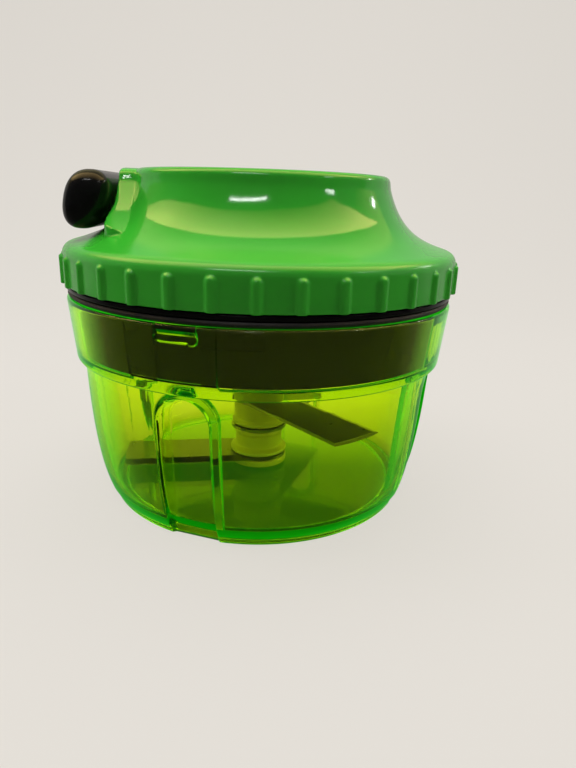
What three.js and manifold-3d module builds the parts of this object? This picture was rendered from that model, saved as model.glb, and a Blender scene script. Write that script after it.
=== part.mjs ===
// A pull-cord food chopper: a clear bowl with a stack of three blades on a centre pin, and a
// bayonet lid that holds a sprung cord reel, its one-way drive and the docked pull handle.
// Millimetres, +Z up, origin at the centre of the bowl's base. The handle side is -X.
import * as THREE from 'three';
import { mergeVertices } from 'three/addons/utils/BufferGeometryUtils.js';
import Module from 'manifold-3d';

const wasm = await Module();
wasm.setup();

// ---- Driving dimensions ------------------------------------------------------------------

const FIT = 0.3; // gap left between pieces that seat on, or are fixed to, each other
const RUN = 0.4; // clearance of pieces that slide or turn against each other
const PAST = 1; // how far a cutter runs past the face it opens

// Round pieces: how many facets make one turn.
const FINE = 48;
const MEDIUM = 24;
const SMALL = 16;
const COVE_STEPS = 7;

// The lid's grip sets the size across; the collar, neck and foot step in from it.
const COVER_RADIUS = 60;

// Bowl.
const COLLAR_INSET = 0.3; // of the collar's top, in from the lid's grip
const COLLAR_TAPER = 1.7;
const COLLAR_STEP = 2.3; // from the collar in to the neck
const FOOT_TUCK = 7; // from the neck in to the foot
const BELLY_TUCK = 1.3; // pull of the wall's curve, in from the neck
const BELLY_RISE = 14; // height of that pull
const FOOT_WIDTH = 3.1;
const FOOT_HEIGHT = 2;
const FLOOR_THICKNESS = 2.4;
const HEEL_RISE = 3.2; // height of the rounded heel above the foot
const HEEL_SWELL = 1.5; // how far the heel swells out past the foot
const BOWL_WALL = 2.2;
const COLLAR_Z = 45.5; // underside of the collar
const COLLAR_HEIGHT = 18.5;
const COLLAR_LEDGE = 2.5; // thickness of the step between wall and collar
const COLLAR_ROUND = 0.7;

// Flutes: upright grip recesses with a round top, pressed into the bowl's wall.
const FLUTE_COUNT = 4;
const FLUTE_ANGLE = -21; // of the first, about Z from +X
const FLUTE_WIDTH = 14;
const FLUTE_TOP = 43.5;
const FLUTE_FOOT_DEPTH = 1.5; // how deep the flute is at the base
const FLUTE_LEAN = 3.7; // the back leans out with the wall
const FLUTE_WALL = 1.5;

// Bayonet: lugs inside the collar, L-shaped grooves in the lid's skirt.
const LUG_ARC = 11.6; // degrees
const LUG_HEIGHT = 2.5;
const LUG_DROP = 3.75; // from the collar's top to the lug's middle
const LUG_DEPTH = 1.6;
const LUG_STOP_RADIUS = 1.6; // round stop bead at the lug's end
const LOCK_TURN = 16; // degrees that the lid turns to lock

// Centre pin and blade stack.
const PIN_RADIUS = 2;
const PIN_HEIGHT = 13; // above the bowl's floor
const PIN_SEAT = 1.2; // how deep the pin sits in the bowl's floor
const PIN_BOSS_RADIUS = 4.4;
const PIN_BOSS_HEIGHT = 0.6;
const CORE_HEX_RADIUS = 5.4; // corner radius of the hexagonal core
const FLANGE_RADIUS = 9.7;
const FLANGE_THICKNESS = 2.1;
const SPACER_HEIGHT = 8.4;
const SPACER_RIM = 1.1;
const WAIST_RADIUS = 8;
const SHOULDER_RADIUS = 9.2;
const HEAD_FOOT_RADIUS = 8.5;
const BLADE_THICKNESS = 1.1;
const BLADE_WIDTH = 17.5;
const BLADE_ROOT_RADIUS = 9.5;
const GRIND_WIDTH = 2.6;
const EDGE_THICKNESS = 0.3;
const BLADE_TURN = -120; // degrees from each blade up to the next
const LOW_BLADE_ANGLE = 187;
const BLADES = ['blade_low', 'blade_middle', 'blade_top'];

// Dog clutch between the blade stack's head and the drive in the lid.
const DOG_COUNT = 3;
const DOG_ARC = 30; // degrees, on both halves
const DOG_HEIGHT = 8.2;
const HEAD_SHAFT_RADIUS = 4.2;
const HEAD_DOG_RADIUS = 7;
const SOCKET_WALL = 2.1;
const DRIVE_DROP = 11.4; // from the lid's floor plate down to the socket's mouth
const HEAD_COLLAR = 2.5; // height of the head's collar under the socket
const HEAD_FLARE = 3.5; // height of the flare under that collar

// Lid base: black moulding with skirt, flange, floor plate and the drive's bearing.
const SKIRT_WALL = 3;
const PLATE_DROP = 1.6; // from the collar's top to the plate's underside
const PLATE_THICKNESS = 2;
const BEARING_WALL = 2.6;
const BEARING_DROP = 4.4; // below the plate
const BEARING_RISE = 3.2; // above the plate
const SEAL_THICKNESS = 1.4;
const SEAL_WIDTH = 1.9;
const SEAL_ROUND = 0.4;
const FLANGE_RING_INSET = 0.5; // in from the lid's grip
const FLANGE_RING_THICKNESS = 1.4;
const SPIGOT_HEIGHT = 2.6;
const SPIGOT_WALL = 2;

// Lid cover: green moulding, ribbed grip, coved crown and a recess for the handle.
const COVER_WALL = 2.2;
const COVER_HEIGHT = 32.5;
const GRIP_HEIGHT = 9.3; // upright wall, from the cover's lower edge
const SHOULDER_REACH = 2.9; // shoulder round, in from the grip
const SHOULDER_RISE = 2.3;
const COVE_REACH = 21.4; // from the grip in to the crown
const CROWN_ROUND = 2.4;
const COVE_PULL_LOW = [0.46, 0.135]; // pulls of the cove's curve: shares of its reach and rise
const COVE_PULL_HIGH = [0.805, 0.308];
const RIB_COUNT = 36;
const RIB_WIDTH = 3.2;
const RIB_HEIGHT = 8.8;
const RIB_DEPTH = 0.9;
const RIB_PHASE = -1; // degrees
const RECESS_ROUND = 8;
const RECESS_FALL = 8.5; // degrees, slope of the recess floor
const BOSS_RADIUS = 4;
const BOSS_INSET = 16; // of the boss circle, in from the grip
const SCREW_COUNT = 4;
const SCREW_PHASE = 45; // degrees
const SCREW_RADIUS = 1.5;
const SCREW_LENGTH = 12;
const SCREW_HEAD_RADIUS = 3;
const SCREW_HEAD_HEIGHT = 1.7;

// Cord reel, recoil spring and axle.
const AXLE_RADIUS = 3;
const AXLE_BOSS_RADIUS = 6.5;
const DRUM_RADIUS = 17;
const GROOVE_WIDTH = 5.4;
const REEL_RADIUS = 25;
const REEL_FLANGE = 1.5;
const BARREL_WALL = 2.2;
const BARREL_DEPTH = 9.2;
const CORD_THICKNESS = 1.8;
const CORD_LAYERS = 2;
const SPRING_TURNS = 5;
const SPRING_STRIP = 0.8; // thickness of the wound strip
const SPRING_WIDTH = 7.6;

// One-way drive: an internal ratchet under the reel, pawls on the drive's disc.
const DISC_RADIUS = 24.5;
const DISC_THICKNESS = 2;
const RATCHET_TEETH = 12;
const RATCHET_RADIUS = 24.7;
const RATCHET_ROOT_RADIUS = 22;
const RATCHET_TIP_RADIUS = 19.5;
const RATCHET_HEIGHT = 5.2;
const PAWL_COUNT = 2;
const PAWL_HEIGHT = 4.2;
const PAWL_PIVOT_RADIUS = 14;
const PAWL_EYE_RADIUS = 3;
const PAWL_POST_RADIUS = 1.6;
const PAWL_TIP_RADIUS = 20.2;
const PAWL_NOSE = 1.8; // thickness of the pawl at its tip
const PAWL_ARC = 38; // degrees from the pivot back to the tip
const PAWL_LAG = 10; // degrees from the tooth's face to the tip at rest
const HUB_BOSS_RADIUS = 6;

// Pull handle, eyelet and cord.
const HANDLE_INSET = 4; // of the handle's outer face, in from the grip
const HANDLE_RISE = 1.9; // of the handle's middle above the cord
const HANDLE_WIDTH = 13.6;
const HANDLE_HEIGHT = 15.8;
const HANDLE_LENGTH = 50;
const HANDLE_END_ROUND = 4.5;
const HANDLE_LEAN = 0.2; // sideways shift for each millimetre of height
const HANDLE_SQUARENESS = 2.4; // 2 is an ellipse, more is squarer
const DOCK_GAP = 1.1; // between the handle and the dock's wall
const DOCK_DEPTH = 5.3; // how far the wall stands out past the crown's chord
const DOCK_RUNOUT = 3; // height over which the dock runs out into the cove
const EYELET_WALL = 1;
const EYELET_LIP = 1.1;
const EYELET_LIP_THICKNESS = 0.9;
const KNOT_RADIUS = 2;
const KNOT_GAP = 0.7; // between the knot and its plug
const PLUG_RADIUS = 3.6;
const PLUG_THICKNESS = 1.4;

// ---- Shared places, worked out from the sizes above ---------------------------------------

const COLLAR_TOP_RADIUS = COVER_RADIUS - COLLAR_INSET;
const COLLAR_FOOT_RADIUS = COLLAR_TOP_RADIUS - COLLAR_TAPER;
const NECK_RADIUS = COLLAR_FOOT_RADIUS - COLLAR_STEP;
const FOOT_RADIUS = NECK_RADIUS - FOOT_TUCK;
const FLUTE_FOOT_RADIUS = FOOT_RADIUS - FLUTE_FOOT_DEPTH;
const FLOOR_TOP = FOOT_HEIGHT + FLOOR_THICKNESS;
const COLLAR_TOP = COLLAR_Z + COLLAR_HEIGHT;
const LEDGE_TOP = COLLAR_Z + COLLAR_LEDGE;
const COLLAR_BORE_FOOT = COLLAR_FOOT_RADIUS - BOWL_WALL;
const COLLAR_BORE_TOP = COLLAR_TOP_RADIUS - BOWL_WALL;
const LUG_Z = COLLAR_TOP - LUG_DROP;
const STACK_FOOT = FLOOR_TOP + PIN_BOSS_HEIGHT + FIT;
const STACK_STEP = SPACER_HEIGHT + BLADE_THICKNESS + 2 * FIT;
const BLADE_FOOT = STACK_FOOT + FLANGE_THICKNESS + FIT;
const HEAD_FOOT = BLADE_FOOT + 2 * STACK_STEP + BLADE_THICKNESS + FIT;
const HEX_CLEAR_RADIUS = CORE_HEX_RADIUS + FIT;

const SKIRT_FOOT = LEDGE_TOP + RUN;
const SKIRT_FOOT_RADIUS = COLLAR_BORE_FOOT - RUN;
const SKIRT_TOP_RADIUS = COLLAR_BORE_TOP - RUN;
const SEAL_BORE_RADIUS = SKIRT_TOP_RADIUS + FIT;
const SEAL_RADIUS = SEAL_BORE_RADIUS + SEAL_WIDTH;
const SEAL_Z = COLLAR_TOP + FIT;
const FLANGE_RING_RADIUS = COVER_RADIUS - FLANGE_RING_INSET;
const FLANGE_RING_Z = SEAL_Z + SEAL_THICKNESS + FIT;
const FLANGE_RING_TOP = FLANGE_RING_Z + FLANGE_RING_THICKNESS;
const PLATE_Z = COLLAR_TOP - PLATE_DROP;
const PLATE_TOP = PLATE_Z + PLATE_THICKNESS;
const BEARING_TOP = PLATE_TOP + BEARING_RISE;
const COVER_Z = FLANGE_RING_TOP + FIT;
const COVER_BORE_RADIUS = COVER_RADIUS - COVER_WALL;
const CROWN_RADIUS = COVER_RADIUS - COVE_REACH;
const CROWN_TOP = COVER_Z + COVER_HEIGHT;
const CEILING_Z = CROWN_TOP - COVER_WALL;
const BOSS_PITCH_RADIUS = COVER_RADIUS - BOSS_INSET;

const SOCKET_RADIUS = HEAD_DOG_RADIUS + RUN;
const DRIVE_RADIUS = SOCKET_RADIUS + SOCKET_WALL;
const BEARING_BORE_RADIUS = DRIVE_RADIUS + FIT;
const DISC_Z = BEARING_TOP + FIT;
const DISC_TOP = DISC_Z + DISC_THICKNESS;
const RATCHET_Z = DISC_TOP + FIT;
const REEL_Z = RATCHET_Z + RATCHET_HEIGHT + FIT;
const BARREL_TOP = REEL_Z + BARREL_DEPTH;
const GROOVE_Z = BARREL_TOP + REEL_FLANGE;
const CORD_Z = GROOVE_Z + GROOVE_WIDTH / 2;
const REEL_TOP = GROOVE_Z + GROOVE_WIDTH + REEL_FLANGE;
const AXLE_BOSS_Z = REEL_TOP + FIT;
const AXLE_FOOT = DISC_TOP + 2 * FIT;
const AXLE_TOP = CEILING_Z - FIT;
const DRIVE_FOOT = PLATE_Z - DRIVE_DROP;
const DOG_FOOT = DRIVE_FOOT + FIT;
const HANDLE_X = HANDLE_INSET + HANDLE_WIDTH / 2 - COVER_RADIUS;
const HANDLE_Z = CORD_Z + HANDLE_RISE;
const RECESS_WALL_X = HANDLE_X + HANDLE_WIDTH / 2 + DOCK_GAP;
const RECESS_FLOOR_Z = HANDLE_Z - HANDLE_HEIGHT / 2 - 2 * RUN;
const DOCK_CHORD_X = RECESS_WALL_X + DOCK_DEPTH;
const CORD_RADIUS = CORD_THICKNESS / 2;
const COIL_BORE_RADIUS = DRUM_RADIUS + FIT;
const COIL_RADIUS = COIL_BORE_RADIUS + CORD_LAYERS * CORD_THICKNESS;
const EYELET_BORE_RADIUS = CORD_RADIUS + RUN;
const EYELET_RADIUS = EYELET_BORE_RADIUS + EYELET_WALL;
const EYELET_LIP_RADIUS = EYELET_RADIUS + EYELET_LIP;
const EYELET_OUT_X = RECESS_WALL_X - FIT - EYELET_LIP_THICKNESS;
const EYELET_IN_X = RECESS_WALL_X + COVER_WALL + FIT + EYELET_LIP_THICKNESS;

// ---- Building helpers ----------------------------------------------------------------------

const rad = THREE.MathUtils.degToRad;
const polar = (radius, degrees) => [radius * Math.cos(rad(degrees)), radius * Math.sin(rad(degrees))];
const evenly = (count, first = 0) => Array.from({ length: count }, (_, i) => first + (i * 360) / count);

/** The closed mesh of a geometry as a solid that can be joined and cut. */
function solid(geometry) {
  const bare = geometry.clone();
  bare.deleteAttribute('normal');
  bare.deleteAttribute('uv');
  const merged = mergeVertices(bare, 1e-5);
  const corners = merged.index.array;
  const triangles = [];
  for (let i = 0; i < corners.length; i += 3) {
    const [a, b, c] = corners.slice(i, i + 3);
    if (a !== b && b !== c && c !== a) triangles.push(a, b, c);
  }
  return new wasm.Manifold(new wasm.Mesh({
    numProp: 3,
    vertProperties: new Float32Array(merged.attributes.position.array),
    triVerts: new Uint32Array(triangles),
  }));
}

/** A solid's surface as a geometry. */
function surface(body) {
  const { vertProperties, triVerts } = body.getMesh();
  const geometry = new THREE.BufferGeometry();
  geometry.setAttribute('position', new THREE.BufferAttribute(vertProperties, 3));
  geometry.setIndex(new THREE.BufferAttribute(triVerts, 1));
  geometry.computeVertexNormals();
  return geometry;
}

const joined = (first, ...others) => others.reduce((sum, each) => sum.add(each), first);
const without = (first, ...others) => others.reduce((left, each) => left.subtract(each), first);

/** A solid of revolution about Z: [radius, height] points, up the outside and down the inside. */
function revolved(profile, facets = FINE) {
  const points = profile.map(([radius, height]) => new THREE.Vector2(radius, height));
  const onAxis = points[0].x === 0 && points.at(-1).x === 0;
  const outline = onAxis ? points : [...points, points[0]];
  return solid(new THREE.LatheGeometry(outline, facets).rotateX(Math.PI / 2));
}

const cylinder = (radius, low, high, facets = SMALL) =>
  revolved([[0, low], [radius, low], [radius, high], [0, high]], facets);

/** A shape in XY, raised from one height to another. */
function raised(shape, low, high, curveSegments = 6) {
  const depth = high - low;
  const geometry = new THREE.ExtrudeGeometry(shape, { depth, bevelEnabled: false, curveSegments });
  return solid(geometry.translate(0, 0, low));
}

/** A shape drawn as (sideways, height), pushed out along +X from one radius to another. */
function pushedOut(shape, near, far, curveSegments = 6) {
  const depth = far - near;
  const geometry = new THREE.ExtrudeGeometry(shape, { depth, bevelEnabled: false, curveSegments });
  const across = new THREE.Vector3(0, 1, 0);
  const up = new THREE.Vector3(0, 0, 1);
  const out = new THREE.Vector3(1, 0, 0);
  geometry.applyMatrix4(new THREE.Matrix4().makeBasis(across, up, out)).translate(near, 0, 0);
  return solid(geometry);
}

/** A block between two radii, centred on a bearing and so many degrees wide. */
function sector(inner, outer, bearing, arc, low, high) {
  const from = rad(bearing - arc / 2);
  const to = rad(bearing + arc / 2);
  const shape = new THREE.Shape();
  shape.absarc(0, 0, outer, from, to, false);
  shape.absarc(0, 0, inner, to, from, true);
  return raised(shape, low, high, 3);
}

function polygon(points) {
  return new THREE.Shape(points.map(([x, y]) => new THREE.Vector2(x, y)));
}

const turned = (body, degrees) => body.rotate([0, 0, degrees]);

/** A solid revolved about Z, laid along X with its top towards -X, at the cord's height. */
const laidOnCord = (body) => body.rotate([0, -90, 0]).translate([0, 0, CORD_Z]);

function rod(from, to, radius, sides) {
  const section = new THREE.Shape();
  section.absarc(0, 0, radius, 0, 2 * Math.PI);
  const extrudePath = new THREE.LineCurve3(new THREE.Vector3(...from), new THREE.Vector3(...to));
  return solid(new THREE.ExtrudeGeometry(section, { extrudePath, steps: 1, curveSegments: sides / 2 }));
}

const curvePoints = (curve, count) => curve.getPoints(count).map(({ x, y }) => [x, y]);

// ---- Bowl ----------------------------------------------------------------------------------

/** The upright U of a flute, open at the foot; grown is its wall's thickness on the inside. */
function fluteBody(grown) {
  const half = FLUTE_WIDTH / 2 + grown;
  const shape = new THREE.Shape();
  shape.moveTo(half, -PAST);
  shape.lineTo(half, FLUTE_TOP - FLUTE_WIDTH / 2);
  shape.absarc(0, FLUTE_TOP - FLUTE_WIDTH / 2, half, 0, Math.PI, false);
  shape.lineTo(-half, -PAST);
  return pushedOut(shape, -grown, NECK_RADIUS - FLUTE_FOOT_RADIUS + COLLAR_LEDGE, 5)
    .rotate([0, FLUTE_LEAN, 0])
    .translate([FLUTE_FOOT_RADIUS, 0, 0]);
}

function bowlSolid() {
  const wall = new THREE.QuadraticBezierCurve(
    new THREE.Vector2(FOOT_RADIUS + HEEL_SWELL, HEEL_RISE),
    new THREE.Vector2(NECK_RADIUS - BELLY_TUCK, BELLY_RISE),
    new THREE.Vector2(NECK_RADIUS, COLLAR_Z),
  );
  const outside = curvePoints(wall, 5);
  const inside = outside.map(([r, z]) => [r - BOWL_WALL, z]).filter(([, z]) => z > FLOOR_TOP + HEEL_SWELL);
  const shell = revolved([
    [0, 0],
    [FOOT_RADIUS, 0],
    [FOOT_RADIUS + HEEL_SWELL * 0.45, HEEL_RISE * 0.5],
    ...outside,
    [COLLAR_FOOT_RADIUS - COLLAR_ROUND, COLLAR_Z],
    [COLLAR_FOOT_RADIUS, COLLAR_Z + COLLAR_ROUND],
    [COLLAR_TOP_RADIUS, COLLAR_TOP],
    [0, COLLAR_TOP],
  ]);
  const cavity = revolved([
    [0, FLOOR_TOP],
    [FOOT_RADIUS - BOWL_WALL, FLOOR_TOP],
    ...inside,
    [NECK_RADIUS - BOWL_WALL, LEDGE_TOP],
    [COLLAR_BORE_FOOT, LEDGE_TOP],
    [COLLAR_BORE_TOP, COLLAR_TOP],
    [COLLAR_BORE_TOP, COLLAR_TOP + PAST],
    [0, COLLAR_TOP + PAST],
  ]);
  const flutes = evenly(FLUTE_COUNT, FLUTE_ANGLE);
  const hollow = without(cavity, ...flutes.map((angle) => turned(fluteBody(FLUTE_WALL), angle)));
  const underside = cylinder(FOOT_RADIUS - FOOT_WIDTH, -PAST, FOOT_HEIGHT, FINE);
  const grips = flutes.map((angle) => turned(fluteBody(0), angle));
  const boss = cylinder(PIN_BOSS_RADIUS, FLOOR_TOP - FLOOR_THICKNESS / 2, FLOOR_TOP + PIN_BOSS_HEIGHT);
  const socket = cylinder(PIN_RADIUS + FIT, FLOOR_TOP - PIN_SEAT - FIT, FLOOR_TOP + PAST);
  const lugs = flutes.map((angle) => bayonetLug(angle));
  return without(joined(without(shell, hollow, underside, ...grips), boss, ...lugs), socket);
}

/** A lug on the collar's bore: a level bar with a round stop bead at one end. */
function bayonetLug(angle) {
  const tip = LUG_TIP_RADIUS;
  const back = COLLAR_BORE_TOP + BOWL_WALL / 2;
  const bar = sector(tip, back, angle, LUG_ARC, LUG_Z - LUG_HEIGHT / 2, LUG_Z + LUG_HEIGHT / 2);
  const bead = new THREE.Shape();
  bead.absarc(0, LUG_Z, LUG_STOP_RADIUS, 0, 2 * Math.PI);
  const beadAngle = angle + LUG_ARC / 2 - THREE.MathUtils.radToDeg(LUG_STOP_RADIUS / back);
  return bar.add(turned(pushedOut(bead, tip, back, 5), beadAngle));
}

function centrePin() {
  return revolved([
    [0, FLOOR_TOP - PIN_SEAT],
    [PIN_RADIUS, FLOOR_TOP - PIN_SEAT],
    [PIN_RADIUS, FLOOR_TOP + PIN_HEIGHT - PIN_RADIUS / 2],
    [PIN_RADIUS / 2, FLOOR_TOP + PIN_HEIGHT],
    [0, FLOOR_TOP + PIN_HEIGHT],
  ], SMALL);
}

// ---- Blade stack ---------------------------------------------------------------------------

/** A six-sided prism whose corners line up with the blades. */
function hexPrism(cornerR, low, high) {
  return raised(polygon(evenly(6, LOW_BLADE_ANGLE).map((angle) => polar(cornerR, angle))), low, high);
}

function hubCore() {
  const flange = cylinder(FLANGE_RADIUS, STACK_FOOT, STACK_FOOT + FLANGE_THICKNESS, MEDIUM);
  const hexagon = hexPrism(CORE_HEX_RADIUS, STACK_FOOT, HEAD_FOOT + SPACER_HEIGHT);
  const bore = cylinder(PIN_RADIUS + RUN, STACK_FOOT - PAST, FLOOR_TOP + PIN_HEIGHT + RUN);
  return without(joined(flange, hexagon), bore);
}

/** A ring round the core that holds two blades apart, with a proud rim at each end. */
function spacer(level, waist, rimLow, rimHigh) {
  const low = BLADE_FOOT + BLADE_THICKNESS + FIT + level * STACK_STEP;
  const high = low + SPACER_HEIGHT;
  return revolved([
    [HEX_CLEAR_RADIUS, low],
    [rimLow, low],
    [rimLow, low + SPACER_RIM],
    [waist, low + 2 * SPACER_RIM],
    [waist, high - 2 * SPACER_RIM],
    [rimHigh, high - SPACER_RIM],
    [rimHigh, high],
    [HEX_CLEAR_RADIUS, high],
  ], MEDIUM);
}

/** The stack's top: a tapered hub on the core, ending in the dogs that the drive turns. */
function hubHead() {
  const dogTop = DOG_FOOT + DOG_HEIGHT;
  const body = revolved([
    [0, HEAD_FOOT],
    [HEAD_FOOT_RADIUS, HEAD_FOOT],
    [HEAD_FOOT_RADIUS, HEAD_FOOT + SPACER_RIM],
    [WAIST_RADIUS, HEAD_FOOT + 2 * SPACER_RIM],
    [HEAD_DOG_RADIUS, DRIVE_FOOT - HEAD_COLLAR - HEAD_FLARE],
    [SHOULDER_RADIUS, DRIVE_FOOT - HEAD_COLLAR],
    [SHOULDER_RADIUS, DRIVE_FOOT - FIT],
    [HEAD_SHAFT_RADIUS, DRIVE_FOOT - FIT],
    [HEAD_SHAFT_RADIUS, dogTop - SPACER_RIM],
    [HEAD_SHAFT_RADIUS - SPACER_RIM, dogTop],
    [0, dogTop],
  ], MEDIUM);
  const dogs = evenly(DOG_COUNT).map((angle) =>
    sector(HEAD_SHAFT_RADIUS / 2, HEAD_DOG_RADIUS, angle, DOG_ARC, DRIVE_FOOT - PAST, dogTop - SPACER_RIM));
  const socket = hexPrism(HEX_CLEAR_RADIUS, HEAD_FOOT - PAST, HEAD_FOOT + SPACER_HEIGHT + FIT);
  return without(joined(body, ...dogs), socket);
}

/** How far the blade at a height reaches: clear of the flutes' walls, which lean out. */
function bladeReach(z) {
  const lean = rad(FLUTE_LEAN);
  return FLUTE_FOOT_RADIUS - FLUTE_WALL / Math.cos(lean) + z * Math.tan(lean) - RUN;
}

/** A flat arm with a round root, a hexagonal hole and one ground edge that leads. */
function bladePlate(reach) {
  const half = BLADE_WIDTH / 2;
  const tipHalf = Math.asin(half / reach);
  const rootHalf = Math.asin(half / BLADE_ROOT_RADIUS);
  const outline = new THREE.Shape();
  outline.absarc(0, 0, reach, -tipHalf, tipHalf, false);
  outline.absarc(0, 0, BLADE_ROOT_RADIUS, rootHalf, 2 * Math.PI - rootHalf, false);
  outline.holes.push(new THREE.Path(evenly(6).map((angle) =>
    new THREE.Vector2(...polar(HEX_CLEAR_RADIUS, angle)))));
  const slope = (BLADE_THICKNESS - EDGE_THICKNESS) / GRIND_WIDTH;
  const grind = polygon([
    [half - GRIND_WIDTH, BLADE_THICKNESS],
    [half + PAST, EDGE_THICKNESS - slope * PAST],
    [half + PAST, BLADE_THICKNESS + PAST],
    [half - GRIND_WIDTH, BLADE_THICKNESS + PAST],
  ]);
  return without(
    raised(outline, 0, BLADE_THICKNESS, 6),
    pushedOut(grind, BLADE_ROOT_RADIUS, reach + PAST),
  );
}

// ---- Lid base and seal -----------------------------------------------------------------------

const skirtRadius = (z) => THREE.MathUtils.mapLinear(
  z, SKIRT_FOOT, COLLAR_TOP, SKIRT_FOOT_RADIUS, SKIRT_TOP_RADIUS);
const LUG_TIP_RADIUS = COLLAR_BORE_TOP - LUG_DEPTH - BOWL_WALL / 4;
const GROOVE_FLOOR_RADIUS = LUG_TIP_RADIUS - RUN;

/** The L of one bayonet groove: up from the skirt's edge, then round to the locked place. */
function bayonetGroove(angle) {
  const slack = THREE.MathUtils.radToDeg(RUN / GROOVE_FLOOR_RADIUS);
  const arc = LUG_ARC + 2 * slack;
  const tall = LUG_STOP_RADIUS + RUN;
  const outer = SKIRT_TOP_RADIUS + PAST;
  const mouth = sector(GROOVE_FLOOR_RADIUS, outer, angle, arc, SKIRT_FOOT - PAST, LUG_Z + tall);
  const run = sector(
    GROOVE_FLOOR_RADIUS, outer, angle + LOCK_TURN / 2, arc + LOCK_TURN, LUG_Z - tall, LUG_Z + tall);
  return mouth.add(run);
}

function screwPlaces() {
  return evenly(SCREW_COUNT, SCREW_PHASE).map((angle) => polar(BOSS_PITCH_RADIUS, angle));
}

function lidBase() {
  const spigotR = COVER_BORE_RADIUS - RUN;
  const bearingR = BEARING_BORE_RADIUS + BEARING_WALL;
  const body = revolved([
    [SKIRT_FOOT_RADIUS - SKIRT_WALL, SKIRT_FOOT],
    [SKIRT_FOOT_RADIUS, SKIRT_FOOT],
    [SKIRT_TOP_RADIUS, COLLAR_TOP],
    [SKIRT_TOP_RADIUS, FLANGE_RING_Z],
    [FLANGE_RING_RADIUS, FLANGE_RING_Z],
    [FLANGE_RING_RADIUS, FLANGE_RING_TOP],
    [spigotR, FLANGE_RING_TOP],
    [spigotR, FLANGE_RING_TOP + SPIGOT_HEIGHT],
    [spigotR - SPIGOT_WALL, FLANGE_RING_TOP + SPIGOT_HEIGHT],
    [spigotR - SPIGOT_WALL, PLATE_TOP],
    [bearingR, PLATE_TOP],
    [bearingR, BEARING_TOP],
    [BEARING_BORE_RADIUS, BEARING_TOP],
    [BEARING_BORE_RADIUS, PLATE_Z - BEARING_DROP],
    [bearingR, PLATE_Z - BEARING_DROP],
    [bearingR, PLATE_Z],
    [skirtRadius(PLATE_Z) - SKIRT_WALL, PLATE_Z],
  ]);
  const grooves = evenly(FLUTE_COUNT, FLUTE_ANGLE).map(bayonetGroove);
  const holes = screwPlaces().map(([x, y]) =>
    cylinder(SCREW_RADIUS + FIT, PLATE_Z - PAST, PLATE_TOP + PAST, 12).translate([x, y, 0]));
  return without(body, ...grooves, ...holes);
}

function sealRing() {
  const top = SEAL_Z + SEAL_THICKNESS;
  return revolved([
    [SEAL_BORE_RADIUS, SEAL_Z],
    [SEAL_RADIUS - SEAL_ROUND, SEAL_Z],
    [SEAL_RADIUS, SEAL_Z + SEAL_THICKNESS / 2],
    [SEAL_RADIUS - SEAL_ROUND, top],
    [SEAL_BORE_RADIUS, top],
  ]);
}

// ---- Lid cover -------------------------------------------------------------------------------

/** Points moved to their left by a distance, each square to the line through its neighbours. */
function offset(points, distance) {
  return points.map(([x, y], i) => {
    const [ax, ay] = points[Math.max(i - 1, 0)];
    const [bx, by] = points[Math.min(i + 1, points.length - 1)];
    const length = Math.hypot(bx - ax, by - ay);
    return [x + ((ay - by) / length) * distance, y + ((bx - ax) / length) * distance];
  });
}

/** The cove's curve, from the shoulder up to the crown's rim. */
function covePoints(steps) {
  const startR = COVER_RADIUS - SHOULDER_REACH;
  const startZ = COVER_Z + GRIP_HEIGHT + SHOULDER_RISE;
  const [a, b, c, d] = [[0, 0], COVE_PULL_LOW, COVE_PULL_HIGH, [1, 1]].map(([reach, rise]) =>
    new THREE.Vector2(
      startR + (CROWN_RADIUS - startR) * reach,
      startZ + (CROWN_TOP - CROWN_ROUND - startZ) * rise));
  return curvePoints(new THREE.CubicBezierCurve(a, b, c, d), steps);
}

/** The cove and the crown's rounded rim. */
function crownPoints(steps) {
  return [
    ...covePoints(steps),
    [CROWN_RADIUS - CROWN_ROUND * 0.35, CROWN_TOP - CROWN_ROUND * 0.4],
    [CROWN_RADIUS - CROWN_ROUND, CROWN_TOP - CROWN_ROUND * 0.06],
  ];
}

/** Half the lid's width at the dock's chord, for heights above the recess's floor. */
function dockSection() {
  return crownPoints(3 * COVE_STEPS)
    .filter(([radius, z]) => radius > -DOCK_CHORD_X && z > RECESS_FLOOR_Z)
    .map(([radius, z]) => [Math.sqrt(radius ** 2 - DOCK_CHORD_X ** 2), z]);
}

/** The dock: a section carried straight out from the chord, running out towards its foot. */
function dockBody(section, depth, foot) {
  const near = DOCK_CHORD_X + COVER_WALL + PAST;
  const low = RECESS_FLOOR_Z - COVER_WALL - PAST;
  const levels = section.map(([halfWidth, z]) => {
    const far = DOCK_CHORD_X - depth * THREE.MathUtils.smoothstep(z, foot, foot + DOCK_RUNOUT);
    return [low, z].flatMap((level) =>
      [near, far].flatMap((x) => [[x, -halfWidth, level], [x, halfWidth, level]]));
  });
  const strips = levels.slice(1).map((level, i) => wasm.Manifold.hull([...levels[i], ...level]));
  return joined(...strips);
}

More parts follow.
